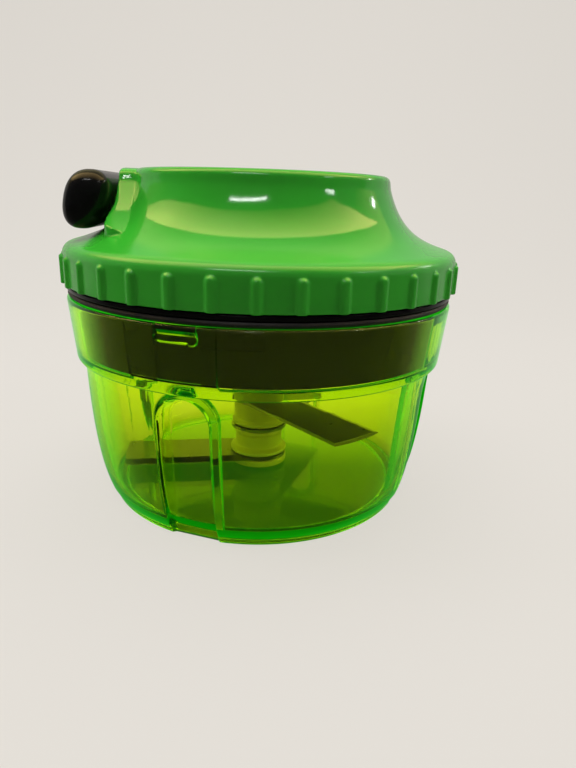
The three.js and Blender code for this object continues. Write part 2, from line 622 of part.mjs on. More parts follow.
/** The recess that takes the docked handle; grown makes the wall's inner face. */
function recessBody(grown) {
  const wallX = RECESS_WALL_X + grown;
  const round = RECESS_ROUND + grown;
  const fall = rad(RECESS_FALL);
  const restX = HANDLE_X - HANDLE_LEAN * (HANDLE_HEIGHT / 2);
  const centreX = wallX - round;
  const floorAt = (x) => RECESS_FLOOR_Z - grown / Math.cos(fall) + (x - restX) * Math.tan(fall);
  const centreZ = floorAt(centreX) + round / Math.cos(fall);
  const far = -(COVER_RADIUS + 2 * PAST);
  const shape = new THREE.Shape();
  shape.moveTo(wallX, CROWN_TOP + 3 * PAST);
  shape.lineTo(far, CROWN_TOP + 3 * PAST);
  shape.lineTo(far, floorAt(far));
  shape.absarc(centreX, centreZ, round, fall - Math.PI / 2, 0, false);
  const depth = 2 * COVER_RADIUS;
  const geometry = new THREE.ExtrudeGeometry(shape, { depth, bevelEnabled: false, curveSegments: 6 });
  return solid(geometry.rotateX(Math.PI / 2).translate(0, COVER_RADIUS, 0));
}

function gripRib(angle) {
  const half = RIB_WIDTH / 2;
  const top = COVER_Z + RIB_HEIGHT - half;
  const shape = new THREE.Shape();
  shape.moveTo(-half, COVER_Z);
  shape.lineTo(half, COVER_Z);
  shape.absarc(0, top, half, 0, Math.PI, false);
  return turned(pushedOut(shape, COVER_RADIUS - COVER_WALL / 2, COVER_RADIUS + RIB_DEPTH, 2), angle);
}

function lidCover() {
  const gripTop = COVER_Z + GRIP_HEIGHT;
  const outside = revolved([
    [0, COVER_Z],
    [COVER_RADIUS, COVER_Z],
    [COVER_RADIUS, gripTop],
    [COVER_RADIUS - SHOULDER_REACH * 0.25, gripTop + SHOULDER_RISE * 0.68],
    ...crownPoints(COVE_STEPS),
    [0, CROWN_TOP],
  ]);
  const lining = offset(covePoints(COVE_STEPS), COVER_WALL).filter(([, z]) => z < CEILING_Z);
  const inside = revolved([
    [0, COVER_Z - PAST],
    [COVER_BORE_RADIUS, COVER_Z - PAST],
    [COVER_BORE_RADIUS, gripTop - COVER_WALL / 2],
    ...lining,
    [lining.at(-1)[0], CEILING_Z],
    [0, CEILING_Z],
  ]);
  const section = dockSection();
  const innerSection = offset(section, COVER_WALL).filter(([, z]) => z < CEILING_Z);
  innerSection.push([innerSection.at(-1)[0], CEILING_Z]);
  const dock = dockBody(section, DOCK_DEPTH + PAST, RECESS_FLOOR_Z);
  const dockInside = dockBody(innerSection, DOCK_DEPTH - COVER_WALL, RECESS_FLOOR_Z + COVER_WALL);
  const ribs = evenly(RIB_COUNT, RIB_PHASE).map(gripRib);
  const form = without(joined(outside, dock), recessBody(0));
  const hollow = without(joined(inside, dockInside), recessBody(COVER_WALL));
  const bosses = screwPlaces().map(([x, y]) =>
    cylinder(BOSS_RADIUS, PLATE_TOP + FIT, CROWN_TOP, SMALL).translate([x, y, 0]).intersect(form));
  const lowBosses = screwPlaces().map(([x, y]) =>
    cylinder(BOSS_RADIUS, PLATE_TOP + FIT, COVER_Z + PAST, SMALL).translate([x, y, 0]));
  const axleBoss = cylinder(AXLE_BOSS_RADIUS, AXLE_BOSS_Z, CEILING_Z + PAST, MEDIUM);
  const axleHole = cylinder(AXLE_RADIUS + FIT, AXLE_BOSS_Z - PAST, CEILING_Z, MEDIUM);
  const pilots = screwPlaces().map(([x, y]) =>
    cylinder(SCREW_RADIUS + FIT, PLATE_TOP - PAST, PLATE_TOP + SCREW_LENGTH, 12).translate([x, y, 0]));
  const gate = -RECESS_WALL_X;
  const padRadius = EYELET_LIP_RADIUS + COVER_WALL;
  const eyeletPad = laidOnCord(cylinder(padRadius, gate - COVER_WALL, gate + RECESS_ROUND));
  const eyeletSeat = laidOnCord(cylinder(EYELET_LIP_RADIUS + FIT, gate, gate + RECESS_ROUND));
  const eyeletHole = laidOnCord(cylinder(EYELET_RADIUS + FIT, 0, gate + PAST));
  const moulding = joined(
    without(form, hollow), ...ribs, ...bosses, ...lowBosses, axleBoss, eyeletPad.intersect(form));
  return without(moulding, axleHole, eyeletSeat, eyeletHole, ...pilots);
}

/** A pan-head screw, from under the base plate up into its boss. */
function baseScrew() {
  const seat = PLATE_Z - FIT;
  return revolved([
    [0, seat - SCREW_HEAD_HEIGHT],
    [SCREW_HEAD_RADIUS * 0.6, seat - SCREW_HEAD_HEIGHT],
    [SCREW_HEAD_RADIUS, seat - SCREW_HEAD_HEIGHT / 2],
    [SCREW_HEAD_RADIUS, seat],
    [SCREW_RADIUS, seat],
    [SCREW_RADIUS, seat + SCREW_LENGTH - SCREW_RADIUS],
    [0, seat + SCREW_LENGTH],
  ], 12);
}

function cordEyelet() {
  return laidOnCord(revolved([
    [EYELET_BORE_RADIUS, -EYELET_IN_X],
    [EYELET_LIP_RADIUS, -EYELET_IN_X],
    [EYELET_LIP_RADIUS, -RECESS_WALL_X - COVER_WALL - FIT],
    [EYELET_RADIUS, -RECESS_WALL_X - COVER_WALL - FIT],
    [EYELET_RADIUS, -RECESS_WALL_X + FIT],
    [EYELET_LIP_RADIUS, -RECESS_WALL_X + FIT],
    [EYELET_LIP_RADIUS - EYELET_LIP / 3, -EYELET_OUT_X],
    [EYELET_BORE_RADIUS, -EYELET_OUT_X],
  ], SMALL));
}

// ---- Reel, recoil spring and one-way drive -----------------------------------------------------

function axlePin() {
  const pin = cylinder(AXLE_RADIUS, AXLE_FOOT, AXLE_TOP, MEDIUM);
  const slotLow = REEL_Z + (BARREL_DEPTH - SPRING_WIDTH) / 2 - FIT;
  const slot = polygon([[-SPRING_STRIP, slotLow], [AXLE_RADIUS + PAST, slotLow],
    [AXLE_RADIUS + PAST, slotLow + SPRING_WIDTH], [-SPRING_STRIP, slotLow + SPRING_WIDTH]]);
  return without(pin, pushedOut(slot, AXLE_RADIUS * 0.6, AXLE_RADIUS + PAST));
}

/** The reel: a grooved drum for the cord over an open barrel that holds the spring. */
function cordReel() {
  const bore = AXLE_RADIUS + FIT;
  return revolved([
    [bore, BARREL_TOP],
    [REEL_RADIUS - BARREL_WALL, BARREL_TOP],
    [REEL_RADIUS - BARREL_WALL, REEL_Z],
    [REEL_RADIUS, REEL_Z],
    [REEL_RADIUS, GROOVE_Z],
    [DRUM_RADIUS, GROOVE_Z],
    [DRUM_RADIUS, GROOVE_Z + GROOVE_WIDTH],
    [REEL_RADIUS, GROOVE_Z + GROOVE_WIDTH],
    [REEL_RADIUS, REEL_TOP],
    [bore, REEL_TOP],
  ], MEDIUM);
}

function cordCoil() {
  const low = GROOVE_Z + FIT;
  const high = GROOVE_Z + GROOVE_WIDTH - FIT;
  return revolved([
    [COIL_BORE_RADIUS, low],
    [COIL_RADIUS, low],
    [COIL_RADIUS, high],
    [COIL_BORE_RADIUS, high],
  ], MEDIUM);
}

/** The wound strip: an even spiral from the axle out to the barrel. */
function mainspring() {
  const startR = AXLE_RADIUS + FIT + SPRING_STRIP / 2;
  const endR = REEL_RADIUS - BARREL_WALL - FIT - SPRING_STRIP / 2;
  const steps = SPRING_TURNS * SMALL;
  const along = Array.from({ length: steps + 1 }, (_, i) => i / steps);
  const edge = (side) => (t) =>
    polar(startR + (endR - startR) * t + (side * SPRING_STRIP) / 2, 360 * SPRING_TURNS * t);
  const strip = polygon([...along.map(edge(1)), ...along.reverse().map(edge(-1))]);
  const low = REEL_Z + (BARREL_DEPTH - SPRING_WIDTH) / 2;
  return raised(strip, low, low + SPRING_WIDTH);
}

/** The ratchet ring: saw teeth inside, each with a radial face that drives the pawls round. */
function ratchetRing() {
  const shape = new THREE.Shape();
  shape.absarc(0, 0, RATCHET_RADIUS, 0, 2 * Math.PI, false);
  const teeth = evenly(RATCHET_TEETH).flatMap((angle) =>
    [polar(RATCHET_TIP_RADIUS, angle), polar(RATCHET_ROOT_RADIUS, angle)]);
  shape.holes.push(new THREE.Path(teeth.map(([x, y]) => new THREE.Vector2(x, y))));
  return raised(shape, RATCHET_Z, RATCHET_Z + RATCHET_HEIGHT, RATCHET_TEETH);
}

/** The drive: dog socket below, bearing journal, and the disc with the pawls' posts above. */
function driveCoupler() {
  const socketTop = DOG_FOOT + DOG_HEIGHT + RUN;
  const boss = RATCHET_Z + PAWL_HEIGHT;
  const body = revolved([
    [SOCKET_RADIUS, DRIVE_FOOT],
    [DRIVE_RADIUS, DRIVE_FOOT],
    [DRIVE_RADIUS, DISC_Z],
    [DISC_RADIUS, DISC_Z],
    [DISC_RADIUS, DISC_TOP],
    [HUB_BOSS_RADIUS, DISC_TOP],
    [HUB_BOSS_RADIUS, boss],
    [AXLE_RADIUS + FIT, boss],
    [AXLE_RADIUS + FIT, AXLE_FOOT - FIT],
    [0, AXLE_FOOT - FIT],
    [0, socketTop],
    [SOCKET_RADIUS, socketTop],
  ], MEDIUM);
  const dogs = evenly(DOG_COUNT, 180 / DOG_COUNT).map((angle) =>
    sector(HEAD_SHAFT_RADIUS + RUN, DRIVE_RADIUS - PAST, angle, DOG_ARC, DRIVE_FOOT, socketTop + PAST));
  const posts = evenly(PAWL_COUNT).map((angle) => {
    const [x, y] = polar(PAWL_PIVOT_RADIUS, angle + PAWL_LAG + PAWL_ARC);
    return cylinder(PAWL_POST_RADIUS, DISC_Z + PAST, boss + FIT, 12).translate([x, y, 0]);
  });
  return joined(body, ...dogs, ...posts);
}

/** A pawl: an eye on its post, tapering back to a nose between two ratchet teeth. */
function pawl(angle) {
  const [px, py] = polar(PAWL_PIVOT_RADIUS, PAWL_LAG + PAWL_ARC);
  const [tx, ty] = polar(PAWL_TIP_RADIUS, PAWL_LAG);
  const [nx, ny] = polar(PAWL_TIP_RADIUS - PAWL_NOSE, PAWL_LAG);
  const back = Math.atan2(py - ty, px - tx);
  const shape = new THREE.Shape();
  shape.moveTo(nx, ny);
  shape.lineTo(tx, ty);
  shape.absarc(px, py, PAWL_EYE_RADIUS, back - Math.PI / 2, back + Math.PI / 2, false);
  const hole = new THREE.Path();
  hole.absarc(px, py, PAWL_POST_RADIUS + FIT, 0, 2 * Math.PI, true);
  shape.holes.push(hole);
  return turned(raised(shape, RATCHET_Z, RATCHET_Z + PAWL_HEIGHT - FIT), angle);
}

// ---- Cord and handle -----------------------------------------------------------------------------

/** The stretch inside the lid: straight from the coil's edge, through the eyelet. */
function cordLead() {
  const gate = -RECESS_WALL_X;
  const leaveR = COIL_RADIUS - CORD_RADIUS;
  const bearing = 180 - THREE.MathUtils.radToDeg(Math.acos(leaveR / gate));
  const [x, y] = polar(COIL_RADIUS + CORD_RADIUS + FIT, bearing);
  const out = EYELET_OUT_X - FIT;
  const inner = rod([x, y, CORD_Z], [EYELET_IN_X + FIT, 0, CORD_Z], CORD_RADIUS, 8);
  return joined(inner, rod([EYELET_IN_X + 2 * FIT, 0, CORD_Z], [out, 0, CORD_Z], CORD_RADIUS, 8));
}

const handleBoreRadius = CORD_RADIUS + RUN;
const plugSeat = HANDLE_X - HANDLE_WIDTH / 2 + PLUG_THICKNESS;
const knotX = plugSeat + KNOT_RADIUS + KNOT_GAP;

function cordRun() {
  const tail = rod([EYELET_OUT_X - 2 * FIT, 0, CORD_Z], [knotX, 0, CORD_Z], CORD_RADIUS, 8);
  const knot = solid(new THREE.SphereGeometry(KNOT_RADIUS, 12, 8)).translate([knotX, 0, CORD_Z]);
  return joined(tail, knot);
}

/** The corners of the handle's section, square to Y, drawn in by an inset. */
function handleSection(y, inset) {
  const power = 2 / HANDLE_SQUARENESS;
  const bend = (value) => Math.sign(value) * Math.abs(value) ** power;
  return evenly(MEDIUM).map((angle) => {
    const [cos, sin] = polar(1, angle);
    const up = (HANDLE_HEIGHT / 2 - inset) * bend(sin);
    const out = (HANDLE_WIDTH / 2 - inset) * bend(cos) + HANDLE_LEAN * up;
    return [HANDLE_X + out, y, HANDLE_Z + up];
  });
}

/** A smooth bar along Y, round at both ends, bored for the cord with a pocket for its knot. */
function pullHandle() {
  const sections = [0, 30, 60, 90].flatMap((turn) => {
    const [cos, sin] = polar(HANDLE_END_ROUND, turn);
    const reach = HANDLE_LENGTH / 2 - HANDLE_END_ROUND + sin;
    const inset = HANDLE_END_ROUND - cos;
    return [...handleSection(-reach, inset), ...handleSection(reach, inset)];
  });
  const bar = wasm.Manifold.hull(sections);
  const pocketFloor = -knotX - KNOT_RADIUS - FIT;
  const bore = laidOnCord(cylinder(handleBoreRadius, 0, pocketFloor + PAST));
  const eyeletPocket = laidOnCord(cylinder(EYELET_LIP_RADIUS + RUN, 0, -EYELET_OUT_X + RUN));
  const pocket = laidOnCord(cylinder(KNOT_RADIUS + RUN, pocketFloor, -HANDLE_X + HANDLE_WIDTH));
  const counterbore = laidOnCord(cylinder(PLUG_RADIUS + FIT, -plugSeat, -HANDLE_X + HANDLE_WIDTH));
  return without(bar, bore, eyeletPocket, pocket, counterbore);
}

/** The plug that closes the knot's pocket on the handle's outer face. */
function handlePlug() {
  const seat = -plugSeat + FIT;
  return laidOnCord(revolved([
    [0, seat],
    [PLUG_RADIUS, seat],
    [PLUG_RADIUS, seat + PLUG_THICKNESS / 2],
    [PLUG_RADIUS - PLUG_THICKNESS / 2, seat + PLUG_THICKNESS],
    [0, seat + PLUG_THICKNESS],
  ], SMALL));
}

// ---- Materials and assembly --------------------------------------------------------------------

const plastic = (color, roughness, extra = {}) =>
  new THREE.MeshStandardMaterial({ color, roughness, metalness: 0, ...extra });
const metal = (color, roughness) => new THREE.MeshStandardMaterial({ color, roughness, metalness: 1 });

const clearGreen = plastic('#8fd40f', 0.08, { transparent: true, opacity: 0.5 });
const glossGreen = plastic('#2f9e35', 0.2);
const blackPlastic = plastic('#101210', 0.3);
const blackRubber = plastic('#151515', 0.75);
const creamPlastic = plastic('#d8cfa6', 0.45);
const greyPlastic = plastic('#9a9c98', 0.5);
const whitePlastic = plastic('#e4e2da', 0.5);
const cordNylon = plastic('#e9e6dd', 0.85);
const bladeSteel = metal('#b4b6b4', 0.25);
const screwSteel = metal('#8d8f90', 0.4);
const springSteel = metal('#55606e', 0.35);
const brass = metal('#c3a15a', 0.35);

const chopper = new THREE.Group();
chopper.name = 'pull_cord_chopper';

function place(name, body, material, group = chopper) {
  const mesh = new THREE.Mesh(surface(body), material);
  mesh.name = name;
  group.add(mesh);
  return mesh;
}

function addBowl() {
  place('bowl', bowlSolid(), clearGreen);
  place('centre_pin', centrePin(), bladeSteel);
}

function addBladeStack() {
  place('hub_core', hubCore(), creamPlastic);
  BLADES.forEach((name, level) => {
    const foot = BLADE_FOOT + level * STACK_STEP;
    const mesh = place(name, bladePlate(bladeReach(foot)), bladeSteel);
    mesh.position.z = foot;
    mesh.rotation.z = rad(LOW_BLADE_ANGLE + level * BLADE_TURN);
  });
  place('spacer_low', spacer(0, WAIST_RADIUS, FLANGE_RADIUS, HEAD_FOOT_RADIUS), creamPlastic);
  place('spacer_high', spacer(1, HEAD_FOOT_RADIUS, SHOULDER_RADIUS, HEAD_FOOT_RADIUS), creamPlastic);
  place('hub_head', hubHead(), creamPlastic);
}

function addLid() {
  place('seal_ring', sealRing(), blackRubber);
  place('lid_base', lidBase(), blackPlastic);
  place('lid_cover', lidCover(), glossGreen);
  place('cord_eyelet', cordEyelet(), brass);
  screwPlaces().forEach(([x, y], i) => {
    const mesh = place(`base_screw_${i + 1}`, baseScrew(), screwSteel);
    mesh.position.set(x, y, 0);
  });
}

function addReel() {
  place('axle', axlePin(), bladeSteel);
  place('mainspring', mainspring(), springSteel);
  place('cord_reel', cordReel(), whitePlastic);
  place('cord_coil', cordCoil(), cordNylon);
  place('ratchet_ring', ratchetRing(), greyPlastic);
  place('drive_coupler', driveCoupler(), greyPlastic);
  evenly(PAWL_COUNT).forEach((angle, i) => place(`pawl_${i + 1}`, pawl(angle), screwSteel));
}

function addHandle() {
  place('cord_lead', cordLead(), cordNylon);
  place('cord_run', cordRun(), cordNylon);
  place('pull_handle', pullHandle(), blackPlastic);
  place('handle_plug', handlePlug(), blackPlastic);
}

addBowl();
addBladeStack();
addLid();
addReel();
addHandle();

export default chopper;
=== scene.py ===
"""Looks of a pull-cord food chopper, laid out as an add-on and run as a script.

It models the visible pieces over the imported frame, gives every piece its finish, and sets a
plain stage. Sizes in the outlines are in millimetres; the meshes are in metres.
"""

import math

import bmesh
import bpy
import numpy as np
from mathutils import Matrix, Vector


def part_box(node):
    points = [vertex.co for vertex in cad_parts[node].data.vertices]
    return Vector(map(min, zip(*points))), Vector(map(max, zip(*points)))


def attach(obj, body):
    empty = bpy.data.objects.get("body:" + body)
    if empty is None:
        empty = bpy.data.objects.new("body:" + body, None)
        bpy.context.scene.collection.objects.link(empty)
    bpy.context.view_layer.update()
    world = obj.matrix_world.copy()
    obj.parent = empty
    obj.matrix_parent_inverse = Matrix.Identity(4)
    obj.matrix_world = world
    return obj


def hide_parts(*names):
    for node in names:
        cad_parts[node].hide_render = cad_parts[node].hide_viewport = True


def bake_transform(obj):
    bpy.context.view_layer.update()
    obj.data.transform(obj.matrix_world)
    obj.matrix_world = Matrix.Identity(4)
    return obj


bl_info = {
    "name": "Pull-Cord Food Chopper",
    "version": (1, 0, 0),
    "blender": (4, 5, 0),
    "location": "3D View > Sidebar > Chopper",
    "description": "Models and finishes the pieces of a pull-cord food chopper",
    "category": "Object",
}

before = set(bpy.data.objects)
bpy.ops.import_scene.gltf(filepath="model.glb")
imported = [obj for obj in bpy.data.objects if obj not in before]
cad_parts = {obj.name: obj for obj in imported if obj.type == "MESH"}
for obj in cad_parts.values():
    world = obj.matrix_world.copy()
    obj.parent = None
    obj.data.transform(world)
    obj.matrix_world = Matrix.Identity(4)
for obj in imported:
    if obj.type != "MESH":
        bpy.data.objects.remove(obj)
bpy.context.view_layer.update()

MM = 0.001
TAU = 2 * math.pi


# ---- Places taken from the frame -----------------------------------------------------------


def low(node):
    """The lowest corner of a frame node, in millimetres."""
    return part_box(node)[0] / MM


def high(node):
    """The highest corner of a frame node, in millimetres."""
    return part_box(node)[1] / MM


BOWL_TOP = high("bowl").z
COLLAR_R = high("bowl").x
COVER_FOOT = high("lid_base").z - 2.3
COVER_TOP = high("lid_cover").z
CORD_Z = (low("cord_run").z + high("cord_run").z) / 2
EYELET_FACE_X = low("cord_eyelet").x
HANDLE_MID = (low("pull_handle") + high("pull_handle")) / 2
HANDLE_SIZE = high("pull_handle") - low("pull_handle")
BLADE_NAMES = ("blade_low", "blade_middle", "blade_top")
BLADE_FEET = [low(name).z for name in BLADE_NAMES]
BLADE_ANGLES = (187, 67, -53)
HUB_FOOT = low("hub_core").z
HEAD_FOOT = low("hub_head").z
HEAD_TOP = high("hub_head").z
SKIRT_FOOT = low("lid_base").z
RECESS_WALL_X = EYELET_FACE_X + 1.2
HANDLE_LEAN = 0.2


# ---- Properties a user would change ----------------------------------------------------------


class ChopperSizes(bpy.types.PropertyGroup):
    round_steps: bpy.props.IntProperty(
        name="Round steps", description="Steps in one turn of a round piece", default=144, min=24)
    rib_depth: bpy.props.FloatProperty(
        name="Rib depth", description="How proud the grip ribs stand", default=0.92 * MM,
        unit="LENGTH")
    rib_half_width: bpy.props.FloatProperty(
        name="Rib half width", description="Half the width of a grip rib", default=1.75 * MM,
        unit="LENGTH")
    recess_edge: bpy.props.FloatProperty(
        name="Recess edge", description="Rounding of the handle recess's edges",
        default=1.5 * MM, unit="LENGTH")
    flute_edge: bpy.props.FloatProperty(
        name="Flute edge", description="Width of the rolled edge of the bowl's flutes",
        default=1.5 * MM, unit="LENGTH")
    cover_wall: bpy.props.FloatProperty(
        name="Cover wall", description="Wall of the lid cover", default=2.1 * MM, unit="LENGTH")


class ChopperColours(bpy.types.PropertyGroup):
    cover: bpy.props.FloatVectorProperty(
        name="Cover", description="Opaque green of the lid", subtype="COLOR", size=3,
        default=(0.040, 0.42, 0.026))
    cover_shade: bpy.props.FloatVectorProperty(
        name="Cover shade", description="Deeper green in the moulding's flow marks",
        subtype="COLOR", size=3, default=(0.034, 0.38, 0.022))
    bowl_tint: bpy.props.FloatVectorProperty(
        name="Bowl tint", description="Colour that the clear plastic lets through",
        subtype="COLOR", size=3, default=(0.885, 0.960, 0.0))
    bowl_density: bpy.props.FloatProperty(
        name="Bowl tint depth", description="How fast the clear plastic takes up light, per metre",
        default=1100.0, min=0.0)
    # Painted glow: this green is emitted by the bowl's edges seen at a grazing angle, standing in for light
    # carried through the plastic.
    bowl_edge_glow: bpy.props.FloatVectorProperty(
        name="Bowl edge", description="Light that the clear plastic carries to its edges",
        subtype="COLOR", size=3, default=(0.01, 0.50, 0.01))
    black: bpy.props.FloatVectorProperty(
        name="Black", description="Black plastic", subtype="COLOR", size=3,
        default=(0.004, 0.004, 0.004))
    cream: bpy.props.FloatVectorProperty(
        name="Cream", description="Cream plastic of the blade hub", subtype="COLOR", size=3,
        default=(0.62, 0.56, 0.38))


class ChopperStage(bpy.types.PropertyGroup):
    backdrop: bpy.props.FloatVectorProperty(
        name="Backdrop", description="Pale tone of floor and backdrop", subtype="COLOR", size=3,
        default=(0.84, 0.80, 0.74))
    key_power: bpy.props.FloatProperty(
        name="Key lamp", description="Power of the lamp overhead", default=4.6, unit="POWER")
    side_power: bpy.props.FloatProperty(
        name="Side lamps", description="Power of the lamps at the sides", default=1.3,
        unit="POWER")
    lens: bpy.props.FloatProperty(
        name="Lens", description="Focal length of the camera", default=27.66,
        unit="CAMERA")


# ---- Outlines ---------------------------------------------------------------------------------


def softened(corners, closed=False, turns=4):
    """Outline points: each corner (across, up, round) is rounded by its third number."""
    points = []
    count = len(corners)
    for i, corner in enumerate(corners):
        here = Vector(corner[:2])
        size = corner[2] if len(corner) > 2 else 0
        inside = closed or 0 < i < count - 1
        if not size or not inside:
            points.append(here)
            continue
        before = Vector(corners[i - 1][:2]) - here
        after = Vector(corners[(i + 1) % count][:2]) - here
        half = before.angle(after) / 2
        if half > math.radians(88):
            points.append(here)
            continue
        cut = min(size / math.tan(half), 0.49 * before.length, 0.49 * after.length)
        radius = cut * math.tan(half)
        middle = here + (before.normalized() + after.normalized()).normalized() * (radius / math.sin(half))
        start = here + before.normalized() * cut - middle
        end = here + after.normalized() * cut - middle
        sweep = start.angle(end)
        for step in range(turns + 1):
            t = step / turns
            share = (math.sin((1 - t) * sweep) * start + math.sin(t * sweep) * end) / math.sin(sweep)
            points.append(middle + share)
    return points


def paced(points, pace):
    """The same outline with more points, no further apart than pace(point) asks."""
    out = [Vector(points[0])]
    for a, b in zip(points, points[1:]):
        a, b = Vector(a), Vector(b)
        length = (b - a).length
        walked = 0.0
        while True:
            here = a.lerp(b, walked / length) if length else b
            walked += pace(here)
            if walked > length - 0.45 * pace(here):
                break
            out.append(a.lerp(b, walked / length))
        out.append(b)
    return out


def bezier(a, b, c, d, count):
    """Points on a cubic curve, both ends included."""
    points = []
    for i in range(count + 1):
        t = i / count
        u = 1 - t
        points.append((
            u**3 * a[0] + 3 * u * u * t * b[0] + 3 * u * t * t * c[0] + t**3 * d[0],
            u**3 * a[1] + 3 * u * u * t * b[1] + 3 * u * t * t * c[1] + t**3 * d[1]))
    return points


def arc(radius, start, end, count):
    """Points round the Z axis, in degrees from +X."""
    return [
        (radius * math.cos(math.radians(start + (end - start) * i / count)),
         radius * math.sin(math.radians(start + (end - start) * i / count)))
        for i in range(count + 1)]


# ---- Modelling steps --------------------------------------------------------------------------


def leave_edit():
    if bpy.context.object and bpy.context.object.mode != "OBJECT":
        bpy.ops.object.mode_set(mode="OBJECT")


def only(obj):
    """Selects one object and nothing else."""
    leave_edit()
    bpy.ops.object.select_all(action="DESELECT")
    obj.select_set(True)
    bpy.context.view_layer.objects.active = obj


def drawn(name, points, closed=False):
    """A new mesh in edit mode: one vertex, extruded from point to point (in millimetres)."""
    leave_edit()
    bpy.ops.object.select_all(action="DESELECT")
    bpy.ops.mesh.primitive_plane_add(size=MM)
    obj = bpy.context.object
    obj.name = name
    obj.data.name = name
    bpy.ops.object.mode_set(mode="EDIT")
    bpy.ops.mesh.select_all(action="SELECT")
    bpy.ops.mesh.merge(type="CENTER")
    here = Vector((0, 0, 0))
    places = [Vector(p) * MM for p in points]
    bpy.ops.transform.translate(value=places[0] - here)
    for a, b in zip(places, places[1:]):
        bpy.ops.mesh.extrude_region_move(TRANSFORM_OT_translate={"value": b - a})
    if closed:
        bpy.ops.mesh.extrude_region_move(TRANSFORM_OT_translate={"value": places[0] - places[-1]})
        bpy.ops.mesh.select_all(action="SELECT")
        bpy.ops.mesh.remove_doubles(threshold=1e-7)
    return obj


def tidied(obj):
    """Merges doubled points and turns every face outwards."""
    bpy.ops.mesh.select_all(action="SELECT")
    bpy.ops.mesh.remove_doubles(threshold=2e-7)
    bpy.ops.mesh.select_all(action="SELECT")
    bpy.ops.mesh.normals_make_consistent(inside=False)
    bpy.ops.object.mode_set(mode="OBJECT")
    return obj


def spun(name, outline, steps=None, closed=False):
    """An outline of (radius, height) points, drawn at +X and spun round the Z axis."""
    steps = steps or bpy.context.scene.chopper_sizes.round_steps
    obj = drawn(name, [(r, 0, z) for r, z in outline], closed)
    bpy.ops.mesh.select_all(action="SELECT")
    bpy.ops.mesh.spin(steps=steps, angle=TAU, center=(0, 0, 0), axis=(0, 0, 1))
    return tidied(obj)


def spun_on_cord(name, outline, steps=64, closed=False):
    """An outline of (radius, distance out along -X), spun round the cord's line."""
    obj = drawn(name, [(-out, 0, CORD_Z + r) for r, out in outline], closed)
    bpy.ops.mesh.select_all(action="SELECT")
    bpy.ops.mesh.spin(steps=steps, angle=TAU, center=(0, 0, CORD_Z * MM), axis=(1, 0, 0))
    return tidied(obj)


def slab(name, outline, foot, top):
    """A flat outline of (x, y) points, filled and extruded up."""
    obj = drawn(name, [(x, y, foot) for x, y in outline], closed=True)
    bpy.ops.mesh.select_all(action="SELECT")
    bpy.ops.mesh.edge_face_add()
    bpy.ops.mesh.extrude_region_move(TRANSFORM_OT_translate={"value": (0, 0, (top - foot) * MM)})
    return tidied(obj)


def sector(name, inner, outer, bearing, width, foot, top, steps=10):
    """A block between two radii, so many degrees wide about a bearing."""
    outside = arc(outer, bearing - width / 2, bearing + width / 2, steps)
    inside = arc(inner, bearing + width / 2, bearing - width / 2, steps)
    return slab(name, outside + inside, foot, top)


def with_tool(obj, tool, operation):
    """Joins or cuts with another solid, which is then used up."""
    only(obj)
    modifier = obj.modifiers.new("Tool", "BOOLEAN")
    modifier.operation = operation
    modifier.object = tool
    modifier.solver = "EXACT"
    bpy.ops.object.modifier_apply(modifier=modifier.name)
    bpy.data.objects.remove(tool, do_unlink=True)
    return obj


def bevelled(obj, width, segments=2, angle=35):
    """Rounds the hard edges."""
    only(obj)
    modifier = obj.modifiers.new("Edges", "BEVEL")
    modifier.width = width * MM
    modifier.segments = segments
    modifier.limit_method = "ANGLE"
    modifier.angle_limit = math.radians(angle)
    modifier.use_clamp_overlap = True
    bpy.ops.object.modifier_apply(modifier=modifier.name)
    return obj


def smoothed(obj, angle=40, weighted=True):
    """Smooth shading, hard only where two faces meet at more than the angle."""
    only(obj)
    bpy.ops.object.shade_smooth_by_angle(angle=math.radians(angle))
    if weighted:
        modifier = obj.modifiers.new("Flat faces first", "WEIGHTED_NORMAL")
        modifier.keep_sharp = True
        modifier.weight = 50
        bpy.ops.object.modifier_apply(modifier=modifier.name)
    return obj


def settled(obj):
    """Puts the object's place and turn into its mesh."""
    only(obj)
    bpy.ops.object.transform_apply(location=True, rotation=True, scale=True)
    return obj


def points_of(obj):
    co = np.empty(len(obj.data.vertices) * 3)
    obj.data.vertices.foreach_get("co", co)
    return co.reshape(-1, 3) / MM


def move_points(obj, places):
    obj.data.vertices.foreach_set("co", (places * MM).ravel())
    obj.data.update()


def fitted(obj, body, nodes, finish):
    """Gives a finished piece its material and slot, and lets it stand for frame nodes."""
    obj.data.materials.clear()
    obj.data.materials.append(finish)
    if nodes:
        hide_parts(*nodes)
    if body:
        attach(obj, body)
    return obj


def smoothstep(value):
    t = np.clip(value, 0, 1)
    return t * t * t * (t * (6 * t - 15) + 10)


# ---- Finishes ---------------------------------------------------------------------------------


def material(name, colour, roughness, metallic=0.0, **sockets):
    """A Principled material; the other sockets are given by name."""
    mat = bpy.data.materials.new(name)
    mat.use_nodes = True
    shader = mat.node_tree.nodes["Principled BSDF"]
    shader.inputs["Base Color"].default_value = (*colour, 1)
    shader.inputs["Roughness"].default_value = roughness
    shader.inputs["Metallic"].default_value = metallic
    for key, value in sockets.items():
        shader.inputs[key.replace("_", " ")].default_value = value
    return mat


def node(mat, kind, **values):
    made = mat.node_tree.nodes.new(kind)
    for key, value in values.items():
        if key in made.inputs:
            made.inputs[key].default_value = value
        else:
            setattr(made, key, value)
    return made


def link(mat, out, into):
    mat.node_tree.links.new(out, into)


def mapped(mat, scale=(1, 1, 1), turn=(0, 0, 0), shift=(0, 0, 0)):
    """Object coordinates through a Mapping node."""
    coordinates = node(mat, "ShaderNodeTexCoord")
    mapping = node(mat, "ShaderNodeMapping")
    mapping.inputs["Scale"].default_value = scale
    mapping.inputs["Rotation"].default_value = turn
    mapping.inputs["Location"].default_value = shift
    link(mat, coordinates.outputs["Object"], mapping.inputs["Vector"])
    return mapping.outputs["Vector"]


